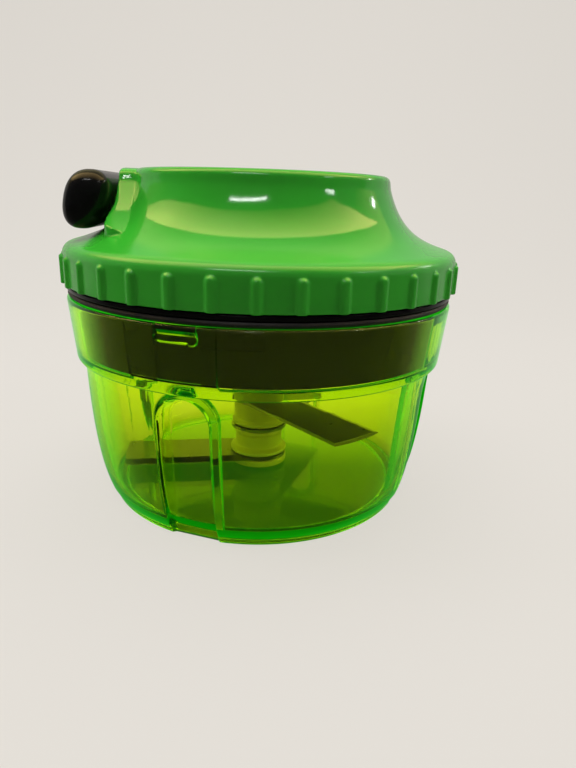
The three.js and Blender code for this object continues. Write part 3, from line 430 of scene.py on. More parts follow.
def noise(mat, vector, scale, detail=3.0, rough=0.55):
    made = node(mat, "ShaderNodeTexNoise", Scale=scale, Detail=detail, Roughness=rough)
    link(mat, vector, made.inputs["Vector"])
    return made.outputs["Fac"]


def spread(mat, value, low_in, high_in, low_out, high_out):
    """Remaps a pattern's value to a range."""
    made = node(mat, "ShaderNodeMapRange")
    for key, number in (("From Min", low_in), ("From Max", high_in),
                        ("To Min", low_out), ("To Max", high_out)):
        made.inputs[key].default_value = number
    link(mat, value, made.inputs["Value"])
    return made.outputs["Result"]


def vary_roughness(mat, value, low_out, high_out):
    shader = mat.node_tree.nodes["Principled BSDF"]
    link(mat, spread(mat, value, 0.3, 0.7, low_out, high_out), shader.inputs["Roughness"])


def vary_colour(mat, value, first, second, start=0.3, stop=0.7):
    ramp = node(mat, "ShaderNodeValToRGB")
    ramp.color_ramp.elements[0].position = start
    ramp.color_ramp.elements[0].color = (*first, 1)
    ramp.color_ramp.elements[1].position = stop
    ramp.color_ramp.elements[1].color = (*second, 1)
    link(mat, value, ramp.inputs["Fac"])
    link(mat, ramp.outputs["Color"], mat.node_tree.nodes["Principled BSDF"].inputs["Base Color"])
    return ramp


def add_bump(mat, value, strength, distance_mm):
    """Bumps the surface; called again, it adds to the bump that is there."""
    shader = mat.node_tree.nodes["Principled BSDF"]
    bump = node(mat, "ShaderNodeBump", Strength=strength, Distance=distance_mm * MM)
    link(mat, value, bump.inputs["Height"])
    if shader.inputs["Normal"].is_linked:
        link(mat, shader.inputs["Normal"].links[0].from_socket, bump.inputs["Normal"])
    link(mat, bump.outputs["Normal"], shader.inputs["Normal"])


def clear_green(colours):
    """Clear tinted plastic: the tint is in its depth, its grazing edges get a painted green glow, and its
    shadow stays light.
    """
    mat = material("Clear green plastic", (1, 1, 1), 0.02, Transmission_Weight=1.0, IOR=1.42)
    broad = noise(mat, mapped(mat), 45, 2)
    fine = noise(mat, mapped(mat, (1, 1, 0.25)), 900, 4)
    vary_roughness(mat, fine, 0.012, 0.05)
    add_bump(mat, broad, 0.10, 0.25)
    tree = mat.node_tree
    out = tree.nodes["Material Output"]
    shader = tree.nodes["Principled BSDF"]
    # Painted glow: surfaces seen at a grazing angle emit the edge green, in place of light carried through
    # the plastic.
    weight = node(mat, "ShaderNodeLayerWeight", Blend=0.5)
    shader.inputs["Emission Color"].default_value = (*colours.bowl_edge_glow, 1)
    glow = spread(mat, weight.outputs["Facing"], 0.50, 1.0, 0.0, 0.62)
    link(mat, glow, shader.inputs["Emission Strength"])
    path = node(mat, "ShaderNodeLightPath")
    clear = node(mat, "ShaderNodeBsdfTransparent")
    clear.inputs["Color"].default_value = (0.82, 0.93, 0.45, 1)
    mix = node(mat, "ShaderNodeMixShader")
    link(mat, path.outputs["Is Shadow Ray"], mix.inputs[0])
    link(mat, shader.outputs[0], mix.inputs[1])
    link(mat, clear.outputs[0], mix.inputs[2])
    link(mat, mix.outputs[0], out.inputs["Surface"])
    tint = node(mat, "ShaderNodeVolumeAbsorption")
    tint.inputs["Color"].default_value = (*colours.bowl_tint, 1)
    tint.inputs["Density"].default_value = colours.bowl_density
    link(mat, tint.outputs[0], out.inputs["Volume"])
    return mat


def gloss_green(colours):
    mat = material("Gloss green plastic", colours.cover, 0.1, Specular_IOR_Level=0.5)
    flow = noise(mat, mapped(mat, (1, 1, 2.5)), 38, 4)
    vary_colour(mat, flow, colours.cover, colours.cover_shade)
    fine = noise(mat, mapped(mat), 1400, 5)
    axes = node(mat, "ShaderNodeSeparateXYZ")
    link(mat, mapped(mat), axes.inputs[0])
    satin_grip = spread(mat, axes.outputs["Z"], 0.0785, 0.0860, 0.13, 0.0)
    roughness = node(mat, "ShaderNodeMath", operation="ADD")
    link(mat, spread(mat, fine, 0.3, 0.7, 0.07, 0.11), roughness.inputs[0])
    link(mat, satin_grip, roughness.inputs[1])
    link(mat, roughness.outputs[0], mat.node_tree.nodes["Principled BSDF"].inputs["Roughness"])
    add_bump(mat, noise(mat, mapped(mat), 110, 3), 0.03, 0.2)
    add_bump(mat, fine, 0.012, 0.02)
    return mat


def gloss_black(colours, name, shine):
    mat = material(name, colours.black, 0.15, Specular_IOR_Level=shine)
    fine = noise(mat, mapped(mat), 900, 5)
    vary_roughness(mat, fine, 0.10, 0.22)
    vary_colour(mat, noise(mat, mapped(mat), 60, 3), colours.black, (0.007, 0.006, 0.006))
    add_bump(mat, fine, 0.04, 0.03)
    add_bump(mat, noise(mat, mapped(mat), 140, 3), 0.05, 0.25)
    return mat


def rubber(colours):
    mat = material("Black rubber", (0.012, 0.010, 0.009), 0.55)
    grain = noise(mat, mapped(mat), 1800, 5)
    vary_roughness(mat, grain, 0.42, 0.68)
    vary_colour(mat, noise(mat, mapped(mat), 120, 3), (0.010, 0.008, 0.008), (0.020, 0.015, 0.012))
    add_bump(mat, grain, 0.25, 0.05)
    return mat


def satin(name, colour, shade, low_rough, high_rough, grain_scale=1300):
    """Moulded plastic with a fine grain and a slight drift in tone."""
    mat = material(name, colour, low_rough)
    grain = noise(mat, mapped(mat), grain_scale, 5)
    vary_roughness(mat, grain, low_rough, high_rough)
    vary_colour(mat, noise(mat, mapped(mat, (1, 1, 2)), 70, 4), colour, shade)
    add_bump(mat, grain, 0.15, 0.04)
    return mat


def steel(name, colour, low_rough, high_rough, stretch, lines=900, shade=0.88):
    """Steel with grinding lines along one direction."""
    mat = material(name, colour, low_rough, 1.0)
    brushed = noise(mat, mapped(mat, stretch), lines, 4, 0.65)
    vary_roughness(mat, brushed, low_rough, high_rough)
    vary_colour(mat, brushed, tuple(shade * c for c in colour), colour)
    add_bump(mat, brushed, 0.04, 0.02)
    return mat


def nylon_cord():
    """Braided cord: two crossing spirals of strands round the cord's line."""
    mat = material("Braided nylon", (0.72, 0.70, 0.64), 0.75, Sheen_Weight=0.2)
    vector = mapped(mat, shift=(0, 0, -CORD_Z * MM))
    waves = []
    for lean in (1, -1):
        made = node(mat, "ShaderNodeTexWave", wave_type="BANDS", bands_direction="DIAGONAL", Scale=700)
        turned = node(mat, "ShaderNodeMapping")
        turned.inputs["Scale"].default_value = (1, lean, lean)
        link(mat, vector, turned.inputs["Vector"])
        link(mat, turned.outputs["Vector"], made.inputs["Vector"])
        waves.append(made.outputs["Fac"])
    weave = node(mat, "ShaderNodeMath", operation="MAXIMUM")
    link(mat, waves[0], weave.inputs[0])
    link(mat, waves[1], weave.inputs[1])
    vary_colour(mat, weave.outputs[0], (0.46, 0.44, 0.39), (0.80, 0.78, 0.72), 0.1, 0.9)
    add_bump(mat, weave.outputs[0], 0.6, 0.12)
    return mat


def build_finishes(colours):
    return {
        "clear_green": clear_green(colours),
        "green": gloss_green(colours),
        "black": gloss_black(colours, "Gloss black plastic", 0.22),
        "base_black": gloss_black(colours, "Plain black plastic", 0.08),
        "seal": rubber(colours),
        "cream": satin("Cream plastic", colours.cream, (0.55, 0.49, 0.32), 0.28, 0.42),
        "grey": satin("Grey plastic", (0.30, 0.31, 0.30), (0.25, 0.26, 0.25), 0.35, 0.5),
        "white": satin("White plastic", (0.74, 0.73, 0.69), (0.66, 0.65, 0.61), 0.35, 0.5),
        "cord": nylon_cord(),
        "screw_steel": steel("Zinc-plated steel", (0.50, 0.50, 0.49), 0.28, 0.45, (1, 1, 6)),
        "spring_steel": steel("Blued spring steel", (0.16, 0.19, 0.25), 0.3, 0.48, (1, 1, 0.08)),
        "brass": steel("Brass", (0.66, 0.47, 0.20), 0.22, 0.4, (1, 6, 6)),
        "blade_steel": steel("Ground blade steel", (0.24, 0.25, 0.22), 0.27, 0.31, (1, 1, 6), 300, 0.97),
    }


FINISHES = {}


def finish(name):
    if not FINISHES:
        FINISHES.update(build_finishes(bpy.context.scene.chopper_colours))
    return FINISHES[name]


# ---- Bowl --------------------------------------------------------------------------------------

FLUTE_BEARINGS = (-21, 69, 159, -111)
FLUTE_HALF = 7.0
FLUTE_ARCH_Z = 36.5
FLUTE_FOOT_R = 47.2
FLUTE_LEAN = math.tan(math.radians(3.7))
FLUTE_WALL = 1.5
LUG_Z = 60.25
LUG_HALF_ARC = 5.8
LEDGE_ARC = (-14.7, 10.5)


def bowl_outline():
    """From the underside's centre up the outside, over the rim and down to the floor's centre."""
    belly = bezier((50.6, 3.9), (53.4, 11.5), (55.0, 24), (55.7, 45.5), 14)
    inner = [(r - 2.2, z) for r, z in reversed(belly) if z > 9]
    corners = [
        (0, 2), (45.6, 2, 0.8), (45.6, 0, 0.5), (48.7, 0, 0.7), (49.3, 1.7, 2),
        *belly,
        (57.9, 45.5, 1.1), (58.05, 47.5, 3), (59.7, 64, 0.9), (57.5, 64, 0.7),
        (55.8, 48, 0.5), (53.5, 48, 1.0),
        *inner[1:],
        (48.6, 4.4, 4.2), (4.9, 4.4, 0.3), (4.4, 5.0, 0.25), (2.3, 5.0, 0.2), (2.3, 2.9), (0, 2.9)]
    outline = softened(corners)
    top = max(range(len(outline)), key=lambda i: outline[i].y)
    outer_wall = paced(outline[:top + 1], lambda p: bowl_pace(p, 35.4, 44.6))
    inner_wall = paced(outline[top:], lambda p: bowl_pace(p, 35.0, 46.4))
    return outer_wall, inner_wall[1:]


def bowl_pace(point, arch_low, arch_high):
    """How far apart the rows lie: close at the flutes' arches and at the lugs."""
    r, z = point
    if r < 44:
        return 7.0
    if arch_low < z < arch_high:
        return 0.3
    if r < 57.6 and 57.9 < z < 62.7:
        return 0.26
    return 2.4


def bowl_columns():
    """Angles of the bowl's columns over one quarter, about a flute's middle."""
    across = [
        *np.arange(-9.8, -6.1, 0.25), -5.9, -5.6, -5.3, -5.0, -4.6, -3.5, -2.2, -1.0, 0.2, 1.4, 2.3,
        *np.arange(2.6, 6.2, 0.3), *np.arange(6.35, 9.9, 0.25)]
    near = [math.degrees(math.asin(u / 54)) for u in across]
    left, right = LEDGE_ARC
    sides = [-12.3, left - 0.45, left - 0.2, left, left + 0.2, left + 0.45, right, right + 0.22, right + 0.5]
    far = [*np.linspace(-45, -17, 11), *np.linspace(13.2, 42.4, 11)]
    quarter = sorted([a for a in near if a < right - 0.2] + sides + far)
    return [math.radians(bearing + a) for bearing in FLUTE_BEARINGS for a in quarter]


def arch_depth(u, z, grown):
    """Signed distance inside a flute's upright arch."""
    below = FLUTE_HALF + grown - np.abs(u)
    above = FLUTE_HALF + grown - np.hypot(u, z - FLUTE_ARCH_Z)
    return np.where(z > FLUTE_ARCH_Z, above, below)


def lug_depth(u, z, radius):
    """Signed distance inside a lug: a rounded bar with a bead at one end."""
    reach = radius * math.radians(LUG_HALF_ARC)
    past = np.maximum(np.abs(u) - (reach - 1.1), 0)
    bar = 1.05 - np.hypot(past, z - LUG_Z)
    bead = 1.5 - np.hypot(u - (reach - 1.55), z - LUG_Z)
    return np.maximum(bar, bead)


def shape_bowl(obj, outer_rows, rows, columns, edge):
    """Presses the flutes, lugs and raised ledges into the spun bowl."""
    co = points_of(obj)
    radius = np.hypot(co[:, 0], co[:, 1])
    outline = np.array(rows)
    nearest = np.array([
        int(np.argmin((outline[:, 0] - r) ** 2 + (outline[:, 1] - z) ** 2))
        for r, z in zip(radius, co[:, 2])])
    is_outer = nearest < outer_rows
    count = len(columns)
    turn = np.round(np.arctan2(co[:, 1], co[:, 0]) / TAU * count).astype(int) % count
    angle = np.array(sorted(a % TAU for a in columns))[turn]
    bearings = np.radians(np.array(FLUTE_BEARINGS))
    delta = (angle[:, None] - bearings[None, :] + math.pi) % TAU - math.pi
    own = np.argmin(np.abs(delta), axis=1)
    delta = delta[np.arange(len(delta)), own]
    z = co[:, 2].copy()

    left, right = (math.radians(a) for a in LEDGE_ARC)
    raised = smoothstep((delta - left) / 0.006 + 0.5) * smoothstep((right - delta) / 0.006 + 0.5)
    bore = ~is_outer & (radius > 55.3) & (z > 47.7)
    radius = np.where(bore, radius - 0.28 * raised * smoothstep((BOWL_TOP - 0.8 - z) / 0.6), radius)
    ledge = ~is_outer & (z > 47.2) & (z < 48.6) & (radius > 53)
    z = np.where(ledge, z + 0.9 * raised, z)

    across = radius * np.sin(delta)
    out = radius * np.cos(delta)
    lug = smoothstep(lug_depth(delta * radius, z, radius) / 0.42 + 0.5)
    out = np.where(bore, out - 1.2 * lug, out)

    back = FLUTE_FOOT_R + FLUTE_LEAN * z
    pressed = smoothstep(arch_depth(across, z, 0) / edge + 0.5)
    bulged = smoothstep(arch_depth(across, z, FLUTE_WALL) / edge + 0.5)
    outer_out = out - pressed * np.maximum(out - back, 0)
    inner_out = out - bulged * np.maximum(out - (back - FLUTE_WALL), 0)
    low_wall = z < 47
    out = np.where(low_wall & is_outer, outer_out, out)
    out = np.where(low_wall & ~is_outer & (radius > 40), inner_out, out)

    facing = bearings[own]
    places = np.stack([
        out * np.cos(facing) - across * np.sin(facing),
        out * np.sin(facing) + across * np.cos(facing),
        z], axis=1)
    places[radius < 1e-3, :2] = 0
    move_points(obj, places)


class CHOPPER_OT_bowl(bpy.types.Operator):
    """Models the clear bowl with its flutes, collar and lugs, and the pin in its floor"""

    bl_idname = "chopper.bowl"
    bl_label = "Bowl"

    def execute(self, context):
        sizes = context.scene.chopper_sizes
        outer, inner = bowl_outline()
        rows = [tuple(p) for p in outer + inner]
        columns = bowl_columns()
        bowl = spun("Bowl_shell", rows, steps=len(columns))
        shape_bowl(bowl, len(outer), rows, columns, sizes.flute_edge / MM)
        smoothed(bowl, 60)
        fitted(bowl, "bowl", ["bowl"], finish("clear_green"))

        foot = low("centre_pin").z
        top = high("centre_pin").z
        pin = spun("Centre_pin", softened([
            (0, foot), (2, foot, 0.2), (2, top - 1, 1), (1, top, 0.4), (0, top)]), 48)
        smoothed(pin)
        fitted(pin, "bowl", ["centre_pin"], finish("blade_steel"))
        return {"FINISHED"}


# ---- Blade stack ----------------------------------------------------------------------------------


def hexagon(corner):
    return [(x, y) for x, y in arc(corner, BLADE_ANGLES[0], BLADE_ANGLES[0] + 300, 5)]


def blade(name, reach, foot, bearing):
    """A flat arm with a round root and one ground edge, drawn along +X and then turned."""
    half = 8.75
    root = 9.5
    thickness = 1.1
    tip = math.degrees(math.asin(half / reach))
    bend = math.degrees(math.asin(half / root))
    outline = arc(reach, -tip, tip, 10) + arc(root, bend, 360 - bend, 24)
    obj = slab(name, outline, 0, thickness)
    only(obj)
    bpy.ops.object.mode_set(mode="EDIT")
    bpy.ops.mesh.select_all(action="SELECT")
    slope = Vector((0, 0.8, 2.6)).normalized()
    bpy.ops.mesh.bisect(
        plane_co=Vector((0, half - 2.6, thickness)) * MM, plane_no=slope, use_fill=True,
        clear_outer=True, clear_inner=False, threshold=1e-7)
    tidied(obj)
    bevelled(obj, 0.08, 1, 25)
    obj.rotation_euler = (0, 0, math.radians(bearing))
    obj.location = (0, 0, foot * MM)
    settled(obj)
    smoothed(obj, 12)
    return obj


def spacer_outline(foot, low_rim, waist, high_rim):
    top = foot + 8.4
    return softened([
        (5.75, foot, 0.2), (low_rim, foot, 0.5), (low_rim, foot + 1.2, 0.5), (waist, foot + 2.2, 0.8),
        (waist, top - 2.2, 0.8), (high_rim, top - 1.2, 0.5), (high_rim, top, 0.5), (5.75, top, 0.2)],
        closed=True)


class CHOPPER_OT_blades(bpy.types.Operator):
    """Models the cream hub, its spacers, the clutch head and the three blades"""

    bl_idname = "chopper.blades"
    bl_label = "Blade stack"

    def execute(self, context):
        core = spun("Hub_core", softened([
            (0, HUB_FOOT), (9.7, HUB_FOOT, 0.4), (9.7, HUB_FOOT + 2.1, 0.5), (0, HUB_FOOT + 2.1)]), 96)
        with_tool(core, slab("Hex", hexagon(5.4), HUB_FOOT + 0.5, high("hub_core").z), "UNION")
        with_tool(core, spun("Bore", [(0, 2), (2.4, 2), (2.4, 17.8), (0, 17.8)], 48), "DIFFERENCE")
        smoothed(core)
        fitted(core, "blades", ["hub_core"], finish("cream"))

        for name, foot, bearing in zip(BLADE_NAMES, BLADE_FEET, BLADE_ANGLES):
            reach = FLUTE_FOOT_R - 1.5 + foot * FLUTE_LEAN - 0.42
            made = blade(name.capitalize(), reach, foot, bearing)
            fitted(made, "blades", [name], finish("blade_steel"))

        first = spun("Spacer_low", spacer_outline(low("spacer_low").z, 9.65, 8.0, 8.5), 96, True)
        smoothed(first)
        fitted(first, "blades", ["spacer_low"], finish("cream"))
        second = spun("Spacer_high", spacer_outline(low("spacer_high").z, 9.15, 8.5, 8.5), 96, True)
        smoothed(second)
        fitted(second, "blades", ["spacer_high"], finish("cream"))

        mouth = low("drive_coupler").z
        head = spun("Hub_head", softened([
            (0, HEAD_FOOT), (8.45, HEAD_FOOT, 0.4), (8.45, HEAD_FOOT + 1.2, 0.5),
            (7.9, HEAD_FOOT + 2.4, 1.0), (6.95, mouth - 6, 2.0), (9.15, mouth - 2.5, 0.8),
            (9.15, mouth - 0.3, 0.5), (4.2, mouth - 0.3, 0.3), (4.2, HEAD_TOP, 0.8),
            (0, HEAD_TOP)]), 96)
        for bearing in (0, 120, 240):
            dog = sector("Dog", 2, 6.95, bearing, 30, mouth - 1, HEAD_TOP - 1.1)
            with_tool(head, bevelled(dog, 0.35), "UNION")
        socket = slab("Socket", hexagon(5.7), HEAD_FOOT - 1, HEAD_FOOT + 8.7)
        with_tool(head, socket, "DIFFERENCE")
        smoothed(head)
        fitted(head, "blades", ["hub_head"], finish("cream"))
        return {"FINISHED"}


# ---- Lid base -------------------------------------------------------------------------------------


class CHOPPER_OT_lid_base(bpy.types.Operator):
    """Models the black lid base with its bayonet grooves, and the seal under its flange"""

    bl_idname = "chopper.lid_base"
    bl_label = "Lid base and seal"

    def execute(self, context):
        foot = SKIRT_FOOT
        ring = low("seal_ring").z + 1.7
        plate = BOWL_TOP - 1.6
        body = spun("Lid_base", softened([
            (52.4, foot, 0.6), (55.4, foot, 0.6), (57.1, BOWL_TOP, 0), (57.1, ring, 0.2),
            (59.5, ring, 0.5), (59.5, ring + 1.4, 0.5), (57.4, ring + 1.4, 0.1),
            (57.4, ring + 4, 0.4), (55.4, ring + 4, 0.4), (55.4, plate + 2, 0.8),
            (12.4, plate + 2, 0.5), (12.4, plate + 5.2, 0.3), (9.8, plate + 5.2, 0.2),
            (9.8, plate - 4.4, 0.2), (12.4, plate - 4.4, 0.5), (12.4, plate, 0.8),
            (53.7, plate, 1.2)], closed=True), 192, True)
        for bearing in FLUTE_BEARINGS:
            mouth = sector("Mouth", 54.9, 60, bearing, 12.5, foot - 1, LUG_Z + 2, 8)
            with_tool(body, mouth, "DIFFERENCE")
            run = sector("Run", 54.9, 60, bearing + 8, 28.5, LUG_Z - 2, LUG_Z + 2, 16)
            with_tool(body, run, "DIFFERENCE")
        smoothed(body, 35)
        fitted(body, "lid", ["lid_base"], finish("base_black"))

        seal_foot = low("seal_ring").z
        seal = spun("Seal_ring", softened([
            (57.4, seal_foot, 0.2), (58.9, seal_foot, 0.3), (59.3, seal_foot + 0.7, 0.5),
            (58.9, seal_foot + 1.4, 0.3), (57.4, seal_foot + 1.4, 0.2)], closed=True), 192, True)
        smoothed(seal, 60)
        fitted(seal, "seal", ["seal_ring"], finish("seal"))
        return {"FINISHED"}


# ---- Lid cover ------------------------------------------------------------------------------------

COVER_R = 60.0
RIB_COUNT = 36
RIB_PHASE = -1
RIB_TOP = COVER_FOOT + 8.8
POLE = (24.0, 73.0)
RECESS_ROUND = 8.0
RECESS_FALL = math.radians(8.5)
DOCK_CHORD_X = RECESS_WALL_X + 5.3
DOCK_FOOT_Z = 82.3
DOCK_RUNOUT = 3.0
PLAIN_BEARING = math.radians(80)


def cover_outline():
    """The cover's section from the grip's upper edge to the crown's middle."""
    cove = bezier((57.1, 79.3), (48.6, 81.8), (42.2, 85), (38.6, 97.8), 26)
    return np.array(softened([
        (COVER_R, 70), (COVER_R, 78.45, 3.4), *cove[2:-1],
        (38.5, 99.9, 2.0), (30, 100.15, 3), (0, 100.2)], turns=6))


def depth_in_profile(r, z, outline):
    """Signed distance to the outline, negative inside it."""
    best = np.full(r.shape, 1e9)
    for (ar, az), (br, bz) in zip(outline, outline[1:]):
        dr, dz = br - ar, bz - az
        t = np.clip(((r - ar) * dr + (z - az) * dz) / (dr * dr + dz * dz), 0, 1)
        best = np.minimum(best, (r - ar - t * dr) ** 2 + (z - az - t * dz) ** 2)
    inside = z < np.interp(-r, -outline[:, 0], outline[:, 1], left=0)
    return np.where(inside, -np.sqrt(best), np.sqrt(best))


def depth_in_dock(r, z, bearing, outline):
    """Signed distance inside the dock: the section at the chord, carried straight out."""
    x = -r * np.cos(bearing)
    y = r * np.sin(bearing)
    section_z = np.interp(-np.hypot(DOCK_CHORD_X, y), -outline[:, 0], outline[:, 1])
    reach = (DOCK_CHORD_X - RECESS_WALL_X + 1) * smoothstep((section_z - DOCK_FOOT_Z) / DOCK_RUNOUT)
    section_r = np.hypot(x + np.clip(DOCK_CHORD_X - x, 0, reach), y)
    return np.maximum(depth_in_profile(section_r, z, outline), DOCK_CHORD_X - reach - x)


def depth_in_recess(r, z, bearing):
    """Signed distance inside the handle's recess; bearing is the angle from -X."""
    x = -r * np.cos(bearing)
    rest_x = HANDLE_MID.x - HANDLE_LEAN * HANDLE_SIZE.z / 2
    rest_z = low("pull_handle").z - 0.8
    a = RECESS_WALL_X - x
    b = (z - rest_z - (x - rest_x) * math.tan(RECESS_FALL)) * math.cos(RECESS_FALL)
    rounded = RECESS_ROUND - np.hypot(RECESS_ROUND - a, RECESS_ROUND - b)
    return np.where((a < RECESS_ROUND) & (b < RECESS_ROUND), rounded, np.minimum(a, b))


def cover_columns():
    """Angles of the cover's columns: close together at each rib."""
    across = (-3.7, -2.3, -1.85, -1.45, -1.0, -0.5, 0.0, 0.5, 1.0, 1.45, 1.85, 2.3, 3.7, 5.2)
    pitch = TAU / RIB_COUNT
    return np.array([
        (math.radians(RIB_PHASE) + pitch * i + u / COVER_R) % TAU
        for i in range(RIB_COUNT) for u in across])


def section_rays(bearings, outline, edge):
    """Where rays from the pole meet the cover's surface, for each bearing from -X."""
    slopes = np.linspace(math.radians(5.6), math.radians(90), 260)
    slope, bearing = np.meshgrid(slopes, bearings)
    travelled = np.zeros_like(slope)
    for _ in range(130):
        r = POLE[0] + travelled * np.cos(slope)
        z = POLE[1] + travelled * np.sin(slope)
        outside = np.minimum(depth_in_profile(r, z, outline), depth_in_dock(r, z, bearing, outline))
        recess = depth_in_recess(r, z, bearing)
        blend = np.maximum(edge - np.abs(outside - recess), 0) / edge
        travelled -= 0.5 * (np.maximum(outside, recess) + blend * blend * edge / 4)
    return POLE[0] + travelled * np.cos(slope), POLE[1] + travelled * np.sin(slope)


def cover_section(bearings, rows, edge):
    """Radius and height of each row of the upper cover, for each bearing from -X."""
    outline = cover_outline()
    capped = np.minimum(bearings, PLAIN_BEARING)
    distinct, own = np.unique(capped, return_inverse=True)
    r, z = section_rays(distinct, outline, edge)
    radii = np.empty((len(distinct), rows))
    heights = np.empty((len(distinct), rows))
    for i in range(len(distinct)):
        step = np.hypot(np.diff(r[i]), np.diff(z[i]))
        heading = np.unwrap(np.arctan2(np.diff(z[i]), np.diff(r[i])))
        bend = np.abs(np.gradient(heading)) / np.maximum(step, 1e-6)
        bend = np.convolve(np.minimum(bend, 1.2), np.ones(9) / 9, "same")
        walked = np.concatenate([[0], np.cumsum(step * (1 + 2.2 * bend))])
        even = np.linspace(0, walked[-1], rows)
        radii[i] = np.interp(even, walked, r[i])
        heights[i] = np.interp(even, walked, z[i])
    return radii[own], heights[own]


class CHOPPER_OT_cover(bpy.types.Operator):
    """Models the green lid cover: ribbed grip, cove, crown and the handle's recess"""

    bl_idname = "chopper.cover"
    bl_label = "Lid cover"

    def execute(self, context):
        sizes = context.scene.chopper_sizes
        foot = COVER_FOOT
        outline = cover_outline()
        edge = outline[outline[:, 1] < 78]
        grip = [(59.7, foot), (59.92, foot + 0.12)]
        for rise in (0.4, 1.6, 3.2, 4.8, 6.2, 6.7, 7.1, 7.5, 7.8, 8.1, 8.35, 8.6):
            grip.append((float(np.interp(foot + rise, edge[:, 1], edge[:, 0])), foot + rise))
        upper_rows = 62
        columns = np.sort(cover_columns())
        from_handle = np.abs(columns - math.pi)
        radii, heights = cover_section(from_handle, upper_rows, sizes.recess_edge / MM)
        plain = int(np.argmax(from_handle))
        crown = [(18, COVER_TOP - 0.03), (11, COVER_TOP), (5, COVER_TOP), (0, COVER_TOP)]
        rows = grip + list(zip(radii[plain], heights[plain])) + crown
        cover = spun("Lid_cover", rows, steps=len(columns))

        co = points_of(cover)
        radius = np.hypot(co[:, 0], co[:, 1])
        outline = np.array(rows)
        row = np.array([
            int(np.argmin((outline[:, 0] - r) ** 2 + (outline[:, 1] - z) ** 2))
            for r, z in zip(radius, co[:, 2])])
        count = len(columns)
        column = np.round(np.arctan2(co[:, 1], co[:, 0]) / TAU * count).astype(int) % count
        angle = columns[column]
        r, z = outline[row, 0].copy(), outline[row, 1].copy()
        upper = (row >= len(grip)) & (row < len(grip) + upper_rows)
        r[upper] = radii[column[upper], row[upper] - len(grip)]
        z[upper] = heights[column[upper], row[upper] - len(grip)]

        pitch = TAU / RIB_COUNT
        across = COVER_R * ((angle - math.radians(RIB_PHASE) + pitch / 2) % pitch - pitch / 2)
        half = sizes.rib_half_width / MM
        away = np.where(z > RIB_TOP - half, np.hypot(across, z - RIB_TOP + half), np.abs(across))
        proud = smoothstep((half + 0.1 - away) / 1.3)
        r = r + np.where(z < foot + 9.3, proud * sizes.rib_depth / MM, 0)
        r[row == len(rows) - 1] = 0
        move_points(cover, np.stack([r * np.cos(angle), r * np.sin(angle), z], axis=1))

        only(cover)
        bpy.ops.object.mode_set(mode="EDIT")
        bpy.ops.mesh.select_all(action="DESELECT")
        mesh = bmesh.from_edit_mesh(cover.data)
        for vertex in mesh.verts:
            x, y, up = vertex.co / MM
            vertex.select_set(x < 0 and math.hypot(y, up - CORD_Z) < 2.3)
        mesh.select_flush_mode()
        bmesh.update_edit_mesh(cover.data)
        bpy.ops.mesh.delete(type="VERT")
        bpy.ops.object.mode_set(mode="OBJECT")

        wall = cover.modifiers.new("Wall", "SOLIDIFY")
        wall.thickness = sizes.cover_wall
        wall.offset = -1
        wall.use_even_offset = False
        only(cover)
        bpy.ops.object.modifier_apply(modifier=wall.name)
        smoothed(cover, 60)
        fitted(cover, "lid", ["lid_cover"], finish("green"))
        return {"FINISHED"}


# ---- Handle, eyelet and cord ------------------------------------------------------------------------

HANDLE_END = 4.6
HANDLE_SLIM = 1.2


def handle_rings():
    """Places along the bar and how far its section is drawn in there."""
    half = HANDLE_SIZE.y / 2
    rings = [(-half + 0.02, 5.9), (-half + 0.06, 5.3)]
    for step in range(9):
        turn = math.radians(90 - 90 * step / 8)
        rings.append((-half + 0.12 + HANDLE_END * (1 - math.sin(turn)), HANDLE_END * (1 - math.cos(turn))))
    body = [(y, 0.0) for y in np.linspace(-half + HANDLE_END + 3, half - HANDLE_END - 3, 9)]
    return rings + body + [(-y, inset) for y, inset in reversed(rings)]


